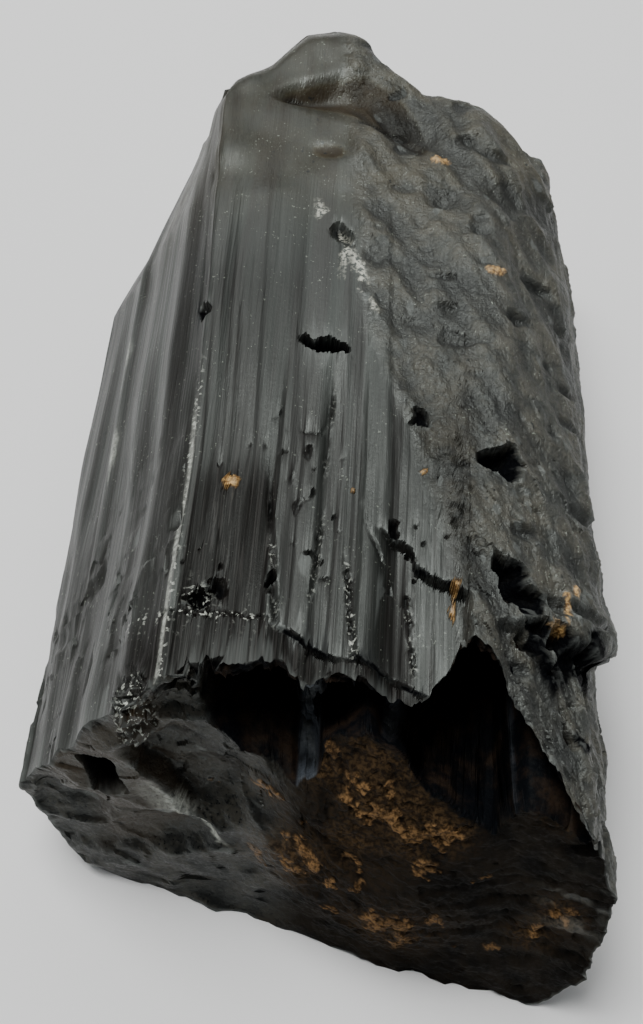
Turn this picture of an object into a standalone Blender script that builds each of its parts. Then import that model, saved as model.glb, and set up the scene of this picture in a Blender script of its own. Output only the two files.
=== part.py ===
"""A black tourmaline crystal, lying on one prism face and broken across at both ends.

Lengths are millimetres in this file and become metres when the mesh is made.
X runs across the crystal, Y along it and Z up. The origin is under its middle, on the
surface that it lies on. The near end is at -Y.
"""

import bpy
import numpy as np

MM = 0.001
NODE_NAME = "tourmaline_crystal"

# ---- overall form -----------------------------------------------------------------

# The cross-section at five places along the crystal, as (x, z) corners that start at the
# left edge and run over the top: left edge, ridge, shoulder, bevel foot, right bulge,
# right foot, base right, base left, left foot.
SECTION_Y = (-38.0, -10.0, 16.0, 28.0, 39.0)
SECTION_CORNERS = (
    ((-20.7, 9.6), (-9.8, 25.7), (12.3, 25.8), (18.9, 21.8), (21.9, 14.0),
     (20.9, 5.4), (17.0, 0.0), (-15.0, 0.0), (-18.8, 4.9)),
    ((-20.7, 10.0), (-9.3, 26.0), (12.5, 25.8), (18.6, 22.2), (20.7, 14.5),
     (19.9, 5.0), (17.4, 0.0), (-16.2, 0.0), (-19.7, 4.0)),
    ((-20.4, 10.5), (-10.5, 26.0), (11.9, 25.4), (18.0, 21.5), (20.3, 14.0),
     (18.9, 5.0), (16.6, 0.0), (-16.0, 0.0), (-19.3, 4.5)),
    ((-15.9, 11.5), (-10.9, 25.4), (10.6, 24.8), (17.0, 20.5), (18.7, 13.5),
     (17.7, 5.3), (15.2, 0.0), (-13.2, 0.0), (-15.6, 4.8)),
    ((-12.8, 13.0), (-10.6, 24.6), (8.8, 23.8), (14.8, 19.5), (16.4, 13.0),
     (15.4, 5.5), (13.2, 0.0), (-10.6, 0.0), (-12.7, 5.0)),
)
CORNER_ROUNDING = 0.9
# (x, y) that becomes the middle of the finished crystal; all the numbers here are from before that move.
MIDDLE = (0.57, 0.38)
SHOULDER, BEVEL_FOOT, BASE_RIGHT, BASE_LEFT = 2, 3, 6, 7

# ---- near end: a leaning break with a deep recess under the edge of the top face ----

# y of the foot of the break over x, and how far it leans back for each millimetre of height.
NEAR_FOOT = ((-21.0, 0.0, 7.0, 13.0, 21.0), (-29.9, -34.95, -36.9, -38.1, -39.7))
NEAR_LEAN = ((-12.0, -3.0), (0.18, 0.31))
# y of the broken edge of the top face and of the bevel, over x.
NEAR_EDGE = (
    (-6.5, -5.0, -3.0, -1.6, -0.5, -0.3, 0.4, 0.6, 1.5, 2.7, 4.6, 6.6, 7.7, 8.6, 9.4, 10.4,
     12.2, 14.0, 15.8, 17.0, 18.6),
    (-26.4, -25.8, -25.3, -25.5, -26.1, -26.8, -26.8, -26.2, -25.6, -25.7, -26.8, -27.1, -26.5,
     -25.1, -23.3, -22.7, -24.0, -27.0, -29.3, -31.5, -34.0),
)
LATH_ENDS = (0.55, 0.5)
# The recess under that edge: where it starts in x, y of its back wall and z of its front edge,
# how steeply its floor starts, and how deep it lies behind the front edge.
RECESS_START = (-6.9, -5.7)
RECESS_BACK = (
    (-5.8, -1.0, -0.5, 0.8, 1.3, 4.4, 4.9, 6.4, 8.2, 9.2, 15.0, 16.2, 17.2, 18.5),
    (-21.5, -21.5, -25.4, -25.4, -21.0, -21.0, -25.2, -25.2, -24.0, -18.5, -19.0, -24.0, -28.5, -33.0),
)
RECESS_FLOOR = (
    (-9.0, -6.7, -5.4, -3.6, -1.6, -0.3, 0.6, 1.6, 2.2, 3.9, 5.4, 6.6, 8.2, 9.8, 11.8, 12.6, 13.4,
     14.6, 15.4, 17.0, 19.0),
    (22.4, 21.0, 19.4, 18.2, 17.6, 17.5, 18.8, 21.2, 22.4, 23.5, 22.9, 22.3, 20.4, 19.1, 18.0, 17.7,
     20.2, 21.0, 20.8, 19.8, 18.4),
)
FLOOR_RISE = (0.3, 1.2)
FLOOR_SINK = ((-5.0, -1.0, 1.0, 2.5, 11.0, 13.0, 15.5), (0.6, 0.6, 2.4, 3.2, 3.2, 1.8, 0.0))
# Broken column ends in that back wall: width and how far they stand out.
COLUMN_ENDS = (0.9, 1.3)
ROOF_THICKNESS = 1.2
# Bowl-shaped breaks in the near face: x, z, half width, half height, depth, tilt in degrees.
NEAR_BOWLS = (
    (-1.2, 13.4, 3.0, 2.4, 0.8, 10.0),
    (-4.5, 2.0, 5.5, 2.2, 0.8, 8.0),
    (-16.5, 9.0, 3.2, 2.6, 0.9, -20.0),
    (-10.0, 8.6, 3.8, 2.6, 0.8, 15.0),
)
# The deep hole with straight sides at the left: x, z, half length, half height, depth, tilt.
NEAR_HOLE = (-13.8, 14.1, 1.75, 1.15, 3.4, -70.0)
MOUND = (5.0, 12.2, 9.5, 10.2, -1.9, -8.0)
# Ledges in the near face: a line from (x, z) to (x, z), then how far the face steps in above it.
NEAR_LEDGES = (
    (-12.0, 16.6, -7.2, 10.6, 1.9, 0.5),
    (-17.5, 3.0, -6.0, 7.6, 0.45, 0.5),
    (-9.6, 22.4, -6.7, 21.0, 0.9, 0.3),
    (-6.7, 21.0, -2.0, 17.6, 1.1, 0.3),
    (1.0, 13.6, 4.0, 10.6, 0.5, 0.4),
)
# Wavy layers at the lower right: thickness, how far each steps in, and where they fade out in x and z.
NEAR_LAYERS = (1.9, 0.32)
NEAR_LAYERS_X = (5.0, 11.0)
NEAR_LAYERS_Z = (17.5, 12.0)
SCALLOP_SIZE = 5.2
SCALLOP_DEPTH = 0.9

# ---- far end: a rounded rim with a shallow hollow behind it --------------------------

FAR_EDGE = (
    (-12.5, -10.2, -7.0, -4.1, -1.4, 1.4, 4.2, 6.0, 9.9, 12.8, 15.3, 17.0),
    (26.9, 30.6, 34.0, 38.3, 39.5, 38.4, 33.8, 30.6, 30.6, 29.2, 26.6, 23.4),
)
# Flat breaks below that rim: y at the middle, slope across and slope upwards.
FAR_FACETS = ((33.8, 0.22, 0.05), (32.6, -0.34, 0.12), (34.0, -0.05, -0.28))
FAR_LIMIT = 37.5
# The hollow behind the rim: middle of its front side (x, y), half length and turn of that side,
# and how far back its wall stands along it. Then its depth, and where its wall starts and ends.
FAR_HOLLOW = (0.0, 25.4, 8.2, -27.0)
FAR_HOLLOW_BACK = ((-7.8, -6.0, -4.0, -2.0, 0.5, 2.8, 5.8, 8.0), (1.2, 3.0, 5.6, 7.3, 7.0, 5.4, 3.0, 1.6))
FAR_HOLLOW_DEPTH = 1.7
FAR_HOLLOW_WALL = (1.6, -3.2)
FAR_DENT = (-1.3, 21.5, 2.2, 1.2, 0.2, -20.0)
FAR_ROLL = (2.4, 0.6)

# ---- relief of the prism faces -------------------------------------------------------

# Rounded ribs on the left flank: height along the slope from the left edge, half width, height.
LEFT_RIBS = ((2.6, 1.3, 0.35), (6.9, 0.9, 0.40), (11.6, 1.7, 0.60), (16.2, 1.2, 0.45))
# Long grooves in the top face: x at the near edge, x at the far end of it, y range, half width, depth.
TOP_GROOVES = (
    (-2.2, -3.4, -22.4, -12.5, 0.30, 0.36),
    (-0.1, 0.3, -20.6, -14.5, 0.18, 0.26),
    (0.3, 0.5, -10.5, -4.0, 0.18, 0.18),
    (2.8, 2.0, -24.4, -17.8, 0.20, 0.22),
    (6.6, 6.1, -24.6, -20.4, 0.18, 0.24),
    (4.2, 3.4, -17.4, -15.4, 0.24, 0.40),
)
# Panels of the top face between the grooves: x of their two sides, and the height of each.
PANELS = (
    (-9.4, -7.8, -3.2, -2.8, -0.2, 0.2, 2.5, 3.0, 4.8, 5.3, 8.4, 9.6),
    (0.0, -0.25, -0.30, 0.05, 0.05, -0.15, -0.15, 0.12, 0.12, -0.10, -0.10, 0.0),
)
PANEL_REACH_Y = (-12.0, 4.0)
# The ledge where the rough right part of the top face ends above the smooth panels: x and y.
LEDGE = (
    (4.3, 5.0, 5.7, 6.3, 6.5, 7.2, 8.2, 8.8, 9.3),
    (-14.9, -16.0, -16.3, -16.8, -18.0, -18.3, -18.7, -19.1, -19.7),
)
LEDGE_HEIGHT = 0.75
# The crack across the top face, parallel to the near end.
CRACK = (
    (-8.6, -5.7, -2.9, -0.6, 1.7, 3.2, 5.4, 7.8),
    (-22.1, -22.1, -22.4, -23.7, -24.9, -24.8, -25.7, -26.6),
)
CRACK_HALF_WIDTH = 0.2
CRACK_DEPTH = 0.10
# How far the slab in front of the crack has dropped, over x.
SLAB_DROP = (
    (-3.2, -1.8, -0.4, 1.5, 2.3, 3.2, 5.4, 7.4, 8.4),
    (0.0, 0.30, 0.50, 0.45, 0.10, 0.50, 0.42, 0.25, 0.0),
)
# The outer layer on the right ends in a ragged step: x or z position round the bevel, then y.
LAYER_EDGE = ((10.5, 12.5, 14.2, 15.6, 17.0, 18.6, 30.0), (-21.4, -20.8, -21.6, -23.6, -21.4, -21.8, -16.4))
LAYER_THICKNESS = 1.15
LAYER_SWELL = (1.7, 2.0, 0.75)
LAYER_FADE_X = (11.0, 13.5)
# Pits in the top face: x, y, half width across, half length, depth, tilt in degrees.
TOP_PITS = (
    (-0.4, 0.1, 2.1, 0.6, 1.4, -28.0),
    (12.2, -8.9, 1.6, 1.3, 2.0, 10.0),
    (13.6, -18.6, 1.1, 2.3, 2.2, 34.0),
    (14.9, -21.6, 0.8, 1.4, 1.6, 25.0),
    (-7.4, -20.9, 0.9, 0.7, 0.9, -20.0),
    (-6.2, -20.0, 0.7, 0.9, 0.7, 30.0),
    (6.6, -5.9, 1.0, 0.4, 0.8, -15.0),
    (-9.6, 3.6, 0.6, 0.8, 0.8, 0.0),
    (0.4, 11.4, 0.8, 1.3, 0.6, 25.0),
    (-2.8, -19.8, 0.4, 0.6, 0.9, 0.0),
    (5.1, -15.1, 0.5, 0.4, 0.8, 0.0),
    (16.4, -22.4, 0.7, 1.7, 2.0, 12.0),
    (18.6, -21.4, 0.8, 1.6, 1.8, 8.0),
    (17.4, -27.6, 0.8, 0.9, 1.1, 20.0),
    (-6.6, -25.7, 1.5, 0.45, 1.1, 0.0),
)
# How far the base stands proud of z = 0 before it is worn flat there.
BASE_LIFT = 0.05
# Flutes and laths: width across, length along, height.
LATHS = ((3.1, 60.0, 0.24), (1.3, 45.0, 0.12))
# The far part of the top face is worn: its laths fade out and it is softly lumpy.
WORN_Y = (9.0, 21.0)
# Soft unevenness of the prism faces: size across, size along, height. The worn part's own lumps; the
# dents in the near half of the left flank; and the long swells everywhere.
WORN_LUMPS = (4.6, 5.2, 0.28)
FLANK_DENTS = (2.4, 3.0, 0.7)
LONG_SWELLS = (4.0, 13.0, 0.25)
FLAKE_TILT = 27.0
FLAKE_SIZE = (1.8, 6.0)
FLAKE_HEIGHT = 0.46
FLAKE_FADE_Z = (9.0, 18.0)
DENT_SIZE = (2.7, 1.6)
DENT_DEPTH = 1.1
ROUGH_SIDE = ((-30.0, -18.5, -8.0, 4.0, 20.0, 40.0), (9.4, 8.6, 5.6, 1.5, 0.0, -2.0))
ROUGH_FADE = 2.2

# ---- mesh density --------------------------------------------------------------------

COLUMN_STEP = 0.42
BASE_COLUMN_STEP = 1.0
ROW_STEP = 0.55
RIM_STEP = 0.6
CAP_RINGS = (26, 12)
FACE_BUDGET = 9200
CAP_CENTRE = (1.0, 13.0)


def hashed(*cells):
    """A repeatable random number from 0 to 1 for each integer cell."""
    mixed = np.zeros(np.broadcast(*cells).shape, dtype=np.uint64)
    for cell, prime in zip(cells, (73856093, 19349663, 83492791, 49979687)):
        mixed ^= (cell.astype(np.int64) + 100003).astype(np.uint64) * np.uint64(prime)
    mixed = (mixed ^ (mixed >> np.uint64(13))) * np.uint64(1274126177)
    mixed = (mixed ^ (mixed >> np.uint64(16))) * np.uint64(2246822519)
    return ((mixed >> np.uint64(8)) & np.uint64(0xFFFFFF)).astype(float) / 0xFFFFFF


def smooth(low, high, value):
    """0 below low, 1 above high and an even curve between them."""
    t = np.clip((value - low) / (high - low), 0.0, 1.0)
    return t * t * (3.0 - 2.0 * t)


def noise(a, b, seed):
    """Soft random relief from -1 to 1 with bumps one unit apart."""
    ia, ib = np.floor(a), np.floor(b)
    fa, fb = a - ia, b - ib
    fa, fb = fa * fa * (3 - 2 * fa), fb * fb * (3 - 2 * fb)
    at = np.full_like(ia, seed)
    low = hashed(ia, ib, at) * (1 - fa) + hashed(ia + 1, ib, at) * fa
    high = hashed(ia, ib + 1, at) * (1 - fa) + hashed(ia + 1, ib + 1, at) * fa
    return 2.0 * (low * (1 - fb) + high * fb) - 1.0


def layered(a, b, seed, layers):
    """Several scales of soft relief added up, each half as large as the one before."""
    return sum(noise(a * 2**i, b * 2**i, seed + i) / 2**i for i in range(layers))


def scallops(a, b, seed):
    """Shallow bowls that meet in sharp ridges: 0 in a bowl's middle and up to about 1 on a ridge."""
    ia, ib = np.floor(a), np.floor(b)
    nearest = np.full(np.broadcast(a, b).shape, 9.0)
    for da in (-1, 0, 1):
        for db in (-1, 0, 1):
            ca, cb = ia + da, ib + db
            seeds = np.full_like(ca, seed)
            pa = ca + 0.15 + 0.7 * hashed(ca, cb, seeds)
            pb = cb + 0.15 + 0.7 * hashed(ca, cb, seeds + 57)
            nearest = np.minimum(nearest, (a - pa) ** 2 + (b - pb) ** 2)
    return np.minimum(nearest, 1.0)


def strip_height(strip, along, seed):
    """Height of one strip, which changes slowly along it."""
    seeds = np.full_like(strip, seed)
    place = along + 3.0 * hashed(strip, seeds)
    piece = np.floor(place)
    share = smooth(0.0, 1.0, place - piece)
    return hashed(strip, piece, seeds) * (1.0 - share) + hashed(strip, piece + 1, seeds) * share


def laths(across, along, width, length, seed):
    """Long strips side by side at random heights, 0 to 1, that change slowly along each strip."""
    warped = across / width + 0.35 * noise(across / (2.3 * width), along * 0.0 + 0.5, seed)
    strip = np.floor(warped)
    to_next = smooth(0.8, 1.0, warped - strip)
    return strip_height(strip, along / length, seed) * (1.0 - to_next) \
        + strip_height(strip + 1, along / length, seed) * to_next


def bowl(a, b, shape, steep=0.6):
    """Depth of a rounded break: centre a, centre b, half width, half height, depth, tilt."""
    centre_a, centre_b, half_a, half_b, depth, tilt = shape
    cos, sin = np.cos(np.radians(tilt)), np.sin(np.radians(tilt))
    da, db = a - centre_a, b - centre_b
    u, v = (da * cos + db * sin) / half_a, (db * cos - da * sin) / half_b
    return depth * np.clip(1.0 - u * u - v * v, 0.0, 1.0) ** steep


def ledge(x, z, shape):
    """How far the near face steps in on the upper side of a line, fading out past its ends."""
    from_x, from_z, to_x, to_z, height, ramp = shape
    length = np.hypot(to_x - from_x, to_z - from_z)
    along_x, along_z = (to_x - from_x) / length, (to_z - from_z) / length
    along = (x - from_x) * along_x + (z - from_z) * along_z
    above = (z - from_z) * along_x - (x - from_x) * along_z
    ends = smooth(-1.5, 1.0, along) * smooth(length + 1.5, length - 1.0, along)
    return height * ends * smooth(-0.2, ramp, above) * smooth(9.0, 3.0, above)


def section_lengths():
    """Where each corner lies along the outline of the section in the middle of the crystal."""
    corners = np.array(SECTION_CORNERS[1])
    sides = np.linalg.norm(np.roll(corners, -1, axis=0) - corners, axis=1)
    return np.concatenate([[0.0], np.cumsum(sides)])


OUTLINE = section_lengths()
PERIMETER = OUTLINE[-1]


def sharp_section(s, y):
    """The point (x, z) at distance s round the cornered outline of the section at y."""
    s = np.mod(s, PERIMETER)
    side = np.clip(np.searchsorted(OUTLINE, s, side="right") - 1, 0, 8)
    share = (s - OUTLINE[side]) / (OUTLINE[side + 1] - OUTLINE[side])
    table = np.array(SECTION_CORNERS)
    point = []
    for axis in (0, 1):
        tracks = np.stack([np.interp(y, SECTION_Y, table[:, c, axis]) for c in range(9)])
        here = np.take_along_axis(tracks, side[None], 0)[0]
        then = np.take_along_axis(tracks, ((side + 1) % 9)[None], 0)[0]
        point.append(here + (then - here) * share)
    return point[0], point[1]


def section(s, y):
    """The outline with its corners rounded."""
    samples = [sharp_section(s + shift * CORNER_ROUNDING, y) for shift in (-1.0, -0.4, 0.4, 1.0)]
    return sum(p[0] for p in samples) / 4, sum(p[1] for p in samples) / 4


def outward(s, y):
    """The outward direction (x, z) of the prism face at s."""
    ahead_x, ahead_z = section(s + 0.3, y)
    behind_x, behind_z = section(s - 0.3, y)
    dx, dz = ahead_x - behind_x, ahead_z - behind_z
    length = np.hypot(dx, dz)
    return -dz / length, dx / length


def roof_underside(x):
    """z of the underside of the roof over the recess, below the top face and the bevel without its layer."""
    shoulder, bevel_foot = SECTION_CORNERS[0][SHOULDER], SECTION_CORNERS[0][BEVEL_FOOT]
    top = np.interp(x, (shoulder[0], bevel_foot[0]), (shoulder[1], bevel_foot[1]))
    return top - ROOF_THICKNESS - LAYER_THICKNESS * smooth(*LAYER_FADE_X, x)


def straight_hole(x, z, shape):
    """Depth of a hole with straight sides and sharp edges."""
    centre_x, centre_z, half_x, half_z, depth, tilt = shape
    cos, sin = np.cos(np.radians(tilt)), np.sin(np.radians(tilt))
    u = np.abs((x - centre_x) * cos + (z - centre_z) * sin) / half_x
    v = np.abs((z - centre_z) * cos - (x - centre_x) * sin) / half_z
    return depth * smooth(1.08, 0.85, np.maximum(u, v))


def wavy_layers(x, z):
    """How far the face steps in at the layers of its lower right part."""
    thickness, step = NEAR_LAYERS
    level = (z - 0.25 * x + 0.9 * layered(x / 4.0, z / 6.0, 35, 2)) / thickness
    saw = level - np.floor(level)
    strength = 0.3 + 0.7 * hashed(np.floor(level), np.floor(x / 3.0 + 0.7 * noise(x / 2.0, level, 37)))
    inside = smooth(*NEAR_LAYERS_X, x) * smooth(*NEAR_LAYERS_Z, z)
    return step * inside * strength * (smooth(0.0, 0.22, saw) - saw)


def ragged_place(x, z):
    """The place on the near break from which a form is read, so that its border is ragged."""
    return x + 0.5 * layered(x / 2.4, z / 2.4, 11, 2), z + 0.5 * layered(x / 2.4, z / 2.4, 15, 2)


def near_face(x, z):
    """y of the break at the near end: a leaning face with a mound, a recess and the roof over it."""
    ragged_x, ragged_z = ragged_place(x, z)
    face = np.interp(x, *NEAR_FOOT) + np.interp(x, *NEAR_LEAN) * z
    face = face + sum(bowl(ragged_x, ragged_z, shape) for shape in NEAR_BOWLS)
    face = face + sum(ledge(ragged_x, ragged_z, shape) for shape in NEAR_LEDGES)
    face = face + bowl(ragged_x, ragged_z, MOUND, 1.1) + wavy_layers(x, z)
    face = face + straight_hole(0.5 * (x + ragged_x), 0.5 * (z + ragged_z), NEAR_HOLE)
    bowls = scallops(x / SCALLOP_SIZE, z / (0.7 * SCALLOP_SIZE), 21)
    face = face - SCALLOP_DEPTH * (bowls - 0.4) * (0.35 + 0.65 * smooth(-2.0, -7.0, x))
    floor = np.interp(ragged_x, *RECESS_FLOOR)
    column_width, column_reach = COLUMN_ENDS
    back = np.interp(ragged_x, *RECESS_BACK) + 0.5 * layered(x / 1.7, z / 1.7, 31, 2)
    back = back - column_reach * (laths(x, z, column_width, 4.0, 33) - 0.6)
    underside = roof_underside(x)
    above_floor = smooth(floor, floor + np.clip(0.5 * (underside - floor), *FLOOR_RISE), z)
    within = smooth(*RECESS_START, x)
    face = face + (np.maximum(back, face) - face) * above_floor * within
    lath_width, lath_reach = LATH_ENDS
    edge = np.interp(x, *NEAR_EDGE) + lath_reach * (laths(x, z * 0.0, lath_width, 50.0, 41) - 0.5)
    in_roof = smooth(underside - 0.3, underside + 0.15, ragged_z) * within
    return face + (edge - face) * in_roof


def floor_sink(x, z):
    """How far the floor of the recess lies below the height at which the face there was worked out."""
    floor, underside = np.interp(ragged_place(x, z)[0], *RECESS_FLOOR), roof_underside(x)
    from_roof = np.clip((underside - z) / np.maximum(underside - floor, 0.5), 0.0, 1.0)
    behind_front = smooth(0.05, 0.55, z - floor) * smooth(*RECESS_START, x)
    return np.interp(x, *FLOOR_SINK) * behind_front * smooth(0.0, 0.6, from_roof)


def far_face(x, z):
    """y of the break at the far end: steep facets under a weathered rim."""
    rim = np.interp(x, *FAR_EDGE)
    ragged_x = x + 1.2 * layered(x / 5.0, z / 5.0, 62, 2)
    facets = np.maximum.reduce([y + dx * (ragged_x - 1.0) + dz * (z - 12.0) for y, dx, dz in FAR_FACETS])
    facets = np.minimum(facets, FAR_LIMIT)
    face = facets - 1.2 * scallops(x / 6.0, z / 4.5, 61) + 0.4 * layered(x / 2.5, z / 2.5, 65, 2)
    return face + (rim - face) * (0.45 * smooth(2.0, 12.0, z) + 0.55 * smooth(13.0, 23.5, z))


def far_hollow(x, y):
    """How deep a place lies in the walled hollow of the far end, from 0 to 1."""
    middle_x, middle_y, half_length, turn = FAR_HOLLOW
    cos, sin = np.cos(np.radians(turn)), np.sin(np.radians(turn))
    along = (x - middle_x) * cos + (y - middle_y) * sin
    back = (y - middle_y) * cos - (x - middle_x) * sin
    wall = np.interp(along, *FAR_HOLLOW_BACK)
    wall_start, wall_end = FAR_HOLLOW_WALL
    ends = smooth(half_length, 0.75 * half_length, np.abs(along))
    return ends * smooth(-0.8, 0.6 * wall, back) * smooth(wall + wall_start, wall + wall_end, back)


def far_end_relief(x, y):
    """Depth of the walled hollow, of the dent in front of it and of the worn roll of the rim."""
    roll_width, roll_depth = FAR_ROLL
    past = np.clip((y - np.interp(x, *FAR_EDGE)) / roll_width + 1.0, 0.0, 1.0)
    return FAR_HOLLOW_DEPTH * far_hollow(x, y) + bowl(x, y, FAR_DENT, 1.5) + roll_depth * past * past


def pit_depth(x, y):
    """Depth of the torn pits of the top face."""
    torn_x = x + 0.5 * layered(x / 1.3, y / 1.3, 72, 2)
    torn_y = y + 0.5 * layered(x / 1.3, y / 1.3, 76, 2) + 0.6 * (laths(x, y * 0.0, 1.1, 9.0, 74) - 0.5)
    return np.maximum.reduce([bowl(torn_x, torn_y, shape, 0.75) for shape in TOP_PITS])


def top_relief(x, y):
    """Steps, grooves, crack and pits of the top face."""
    ragged_x = x + 0.25 * layered(x / 1.1, y / 1.4, 71, 2)
    ragged_y = y + 0.25 * layered(x / 1.1, y / 1.4, 75, 2)
    height = np.interp(x, *PANELS) * smooth(PANEL_REACH_Y[1], PANEL_REACH_Y[0], y)
    for near_x, far_x, near_y, far_y, half, depth in TOP_GROOVES:
        middle = near_x + (far_x - near_x) * (y - near_y) / (far_y - near_y)
        patchy = 0.65 + 0.35 * noise(y / 1.3, y * 0.0 + near_x, 79)
        inside = smooth(far_y + 1.5, far_y - 1.5, y) * smooth(near_y - 0.8, near_y, y) * patchy
        wander = np.abs(x + 0.25 * (ragged_x - x) - middle) / half
        height = height - depth * inside * np.clip(1.0 - wander, 0.0, 1.0)
    ledge_y = np.interp(x, *LEDGE)
    lowered = smooth(ledge_y + 0.1, ledge_y - 0.35, ragged_y) * smooth(3.6, 5.2, x) * smooth(10.4, 9.6, x)
    height = height - LEDGE_HEIGHT * lowered
    crack = np.interp(ragged_x, *CRACK) + 0.16 * noise(x / 0.9, y * 0.0, 77)
    inside = np.clip(1.0 - np.abs(y - crack) / CRACK_HALF_WIDTH, 0.0, 1.0) * smooth(-1.0, -2.0, x)
    height = height - CRACK_DEPTH * inside
    height = height - np.interp(x, *SLAB_DROP) * smooth(crack + 0.05, crack - 0.3, y)
    return height - pit_depth(x, y) - far_end_relief(x, y)


def flakes(x, y, z, s):
    """Slanting flaky relief of the rough right part of the top face."""
    cos, sin = np.cos(np.radians(FLAKE_TILT)), np.sin(np.radians(FLAKE_TILT))
    across = s * cos + y * sin
    along = y * cos - s * sin
    bowls = scallops(across / FLAKE_SIZE[0], along / FLAKE_SIZE[1], 81)
    bumps = layered(across / FLAKE_SIZE[0], along / FLAKE_SIZE[1], 85, 2)
    dents = np.maximum(noise(s / DENT_SIZE[0], y / DENT_SIZE[1], 87) - 0.45, 0.0)
    rough = smooth(0.0, ROUGH_FADE, x - np.interp(y, *ROUGH_SIDE)) * (0.2 + 0.8 * smooth(*FLAKE_FADE_Z, z))
    return rough * (FLAKE_HEIGHT * (bowls - 0.45 + 0.6 * bumps) - DENT_DEPTH * dents)


def left_relief(s, y):
    """Rounded ribs along the left flank that swell and fade, and soft dents."""
    swells = [0.75 + 0.5 * noise(y / 14.0, y * 0.0 + at, 83) for at, _half, _height in LEFT_RIBS]
    ribs = sum(w * h * np.exp(-(((s - at) / half) ** 2)) for w, (at, half, h) in zip(swells, LEFT_RIBS))
    across, along, depth = FLANK_DENTS
    dents = np.maximum(layered(s / across, y / along, 67, 2) - 0.35, 0.0) * smooth(-4.0, -14.0, y)
    return ribs - 0.25 - depth * dents


def prism_relief(s, x, y, z, nx, nz):
    """How far the surface stands out from the plain prism."""
    on_top = smooth(0.62, 0.8, nz)
    on_left = smooth(-0.3, -0.6, nx) * smooth(8.0, 12.0, z)
    on_base = smooth(-0.4, -0.8, nz)
    height = sum(h * (laths(s, y, w, l, 91 + i) - 0.5) for i, (w, l, h) in enumerate(LATHS))
    worn = 1.0 - 0.6 * on_left - 0.7 * on_top * smooth(*WORN_Y, y)
    swell_across, swell_along, swell_height = LONG_SWELLS
    height = height * worn + swell_height * layered(s / swell_across, y / swell_along, 95, 2)
    lump_across, lump_along, lump_height = WORN_LUMPS
    lumps = lump_height * layered(x / lump_across, y / lump_along, 99, 2)
    height = height + on_top * smooth(*WORN_Y, y) * lumps + BASE_LIFT * on_base
    height = height + on_top * top_relief(x, y) + on_left * left_relief(s, y)
    height = height + flakes(x, y, z, s) * (1.0 - on_base)
    layer_y = np.interp(x + np.clip(20.0 - z, 0.0, 12.0), *LAYER_EDGE) + 0.4 * noise(s / 1.2, y * 0.0, 97)
    on_layer = smooth(*LAYER_FADE_X, x) * smooth(2.0, 6.0, z)
    behind_edge, swell_half, swell = LAYER_SWELL
    broken_off = smooth(layer_y + 0.2, layer_y - 0.4, y)
    swollen = swell * np.exp(-(((y - layer_y - behind_edge) / swell_half) ** 2)) * smooth(15.0, 19.0, x)
    height = height + on_layer * (swollen * (1.0 - broken_off) - LAYER_THICKNESS * broken_off)
    return height


def outline_columns():
    """Distances round the section: close together, but wide apart under the base."""
    base_start, base_end = OUTLINE[BASE_RIGHT] + 2.0, OUTLINE[BASE_LEFT] - 2.0
    upper = np.arange(base_end - PERIMETER, base_start, COLUMN_STEP)
    lower = np.arange(base_start, base_end, BASE_COLUMN_STEP)
    return np.concatenate([upper, lower])


def prism_points(columns):
    """The grid of points over the prism faces: one row across the crystal after another."""
    x, z = section(columns, np.full_like(columns, -28.0))
    near = near_face(x, z)
    x, z = section(columns, np.full_like(columns, 32.0))
    far = far_face(x, z)
    rows = int((far.mean() - near.mean()) / ROW_STEP)
    share = np.linspace(0.0, 1.0, rows)[:, None]
    y = near + (far - near) * share
    s = np.broadcast_to(columns, y.shape)
    x, z = section(s, y)
    nx, nz = outward(s, y)
    height = prism_relief(s, x, y, z, nx, nz)
    return np.stack([x + nx * height, y, z + nz * height], axis=-1)


def cap_points(rim, face, rings):
    """Rings of points from the rim to the middle of an end face."""
    centre = np.array(CAP_CENTRE)
    offset = np.clip(rim[:, 1] - face(rim[:, 0], rim[:, 2]), -RIM_STEP, RIM_STEP)
    points = []
    for ring in range(1, rings):
        keep = 1.0 - ring / rings
        x = centre[0] + (rim[:, 0] - centre[0]) * keep
        z = centre[1] + (rim[:, 2] - centre[1]) * keep
        points.append(np.stack([x, face(x, z) + offset * keep**8, z], axis=-1))
    middle_y = face(centre[0:1], centre[1:2])[0]
    return np.array(points), np.array([centre[0], middle_y, centre[1]])


def ring_faces(first, second, count):
    """Quads between two rings of points, given the index where each ring starts."""
    i = np.arange(count)
    j = (i + 1) % count
    return np.stack([first + i, first + j, second + j, second + i], axis=-1)


def crystal_mesh():
    """The closed crystal: the near cap's middle and rings, the prism's rows, then the far cap."""
    columns = outline_columns()
    count = len(columns)
    prism = prism_points(columns)
    near_rings, near_middle = cap_points(prism[0], near_face, CAP_RINGS[0])
    far_rings, far_middle = cap_points(prism[-1], far_face, CAP_RINGS[1])
    near_rings[..., 2] -= floor_sink(near_rings[..., 0], near_rings[..., 2])
    rings = np.concatenate([near_rings[::-1], prism, far_rings])
    points = np.concatenate([rings.reshape(-1, 3), [near_middle, far_middle]])
    points[:, 2] = np.maximum(points[:, 2], 0.0)
    points[:, :2] -= MIDDLE
    quads = [ring_faces(r * count, (r + 1) * count, count) for r in range(len(rings) - 1)]
    i = np.arange(count)
    last = (len(rings) - 1) * count
    near_fan = np.stack([np.full(count, len(points) - 2), (i + 1) % count, i], axis=-1)
    far_fan = np.stack([np.full(count, len(points) - 1), last + i, last + (i + 1) % count], axis=-1)
    faces = np.concatenate(quads).tolist() + near_fan.tolist() + far_fan.tolist()
    mesh = bpy.data.meshes.new(NODE_NAME)
    mesh.from_pydata((points * MM).tolist(), [], faces)
    mesh.update()
    return mesh


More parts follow.
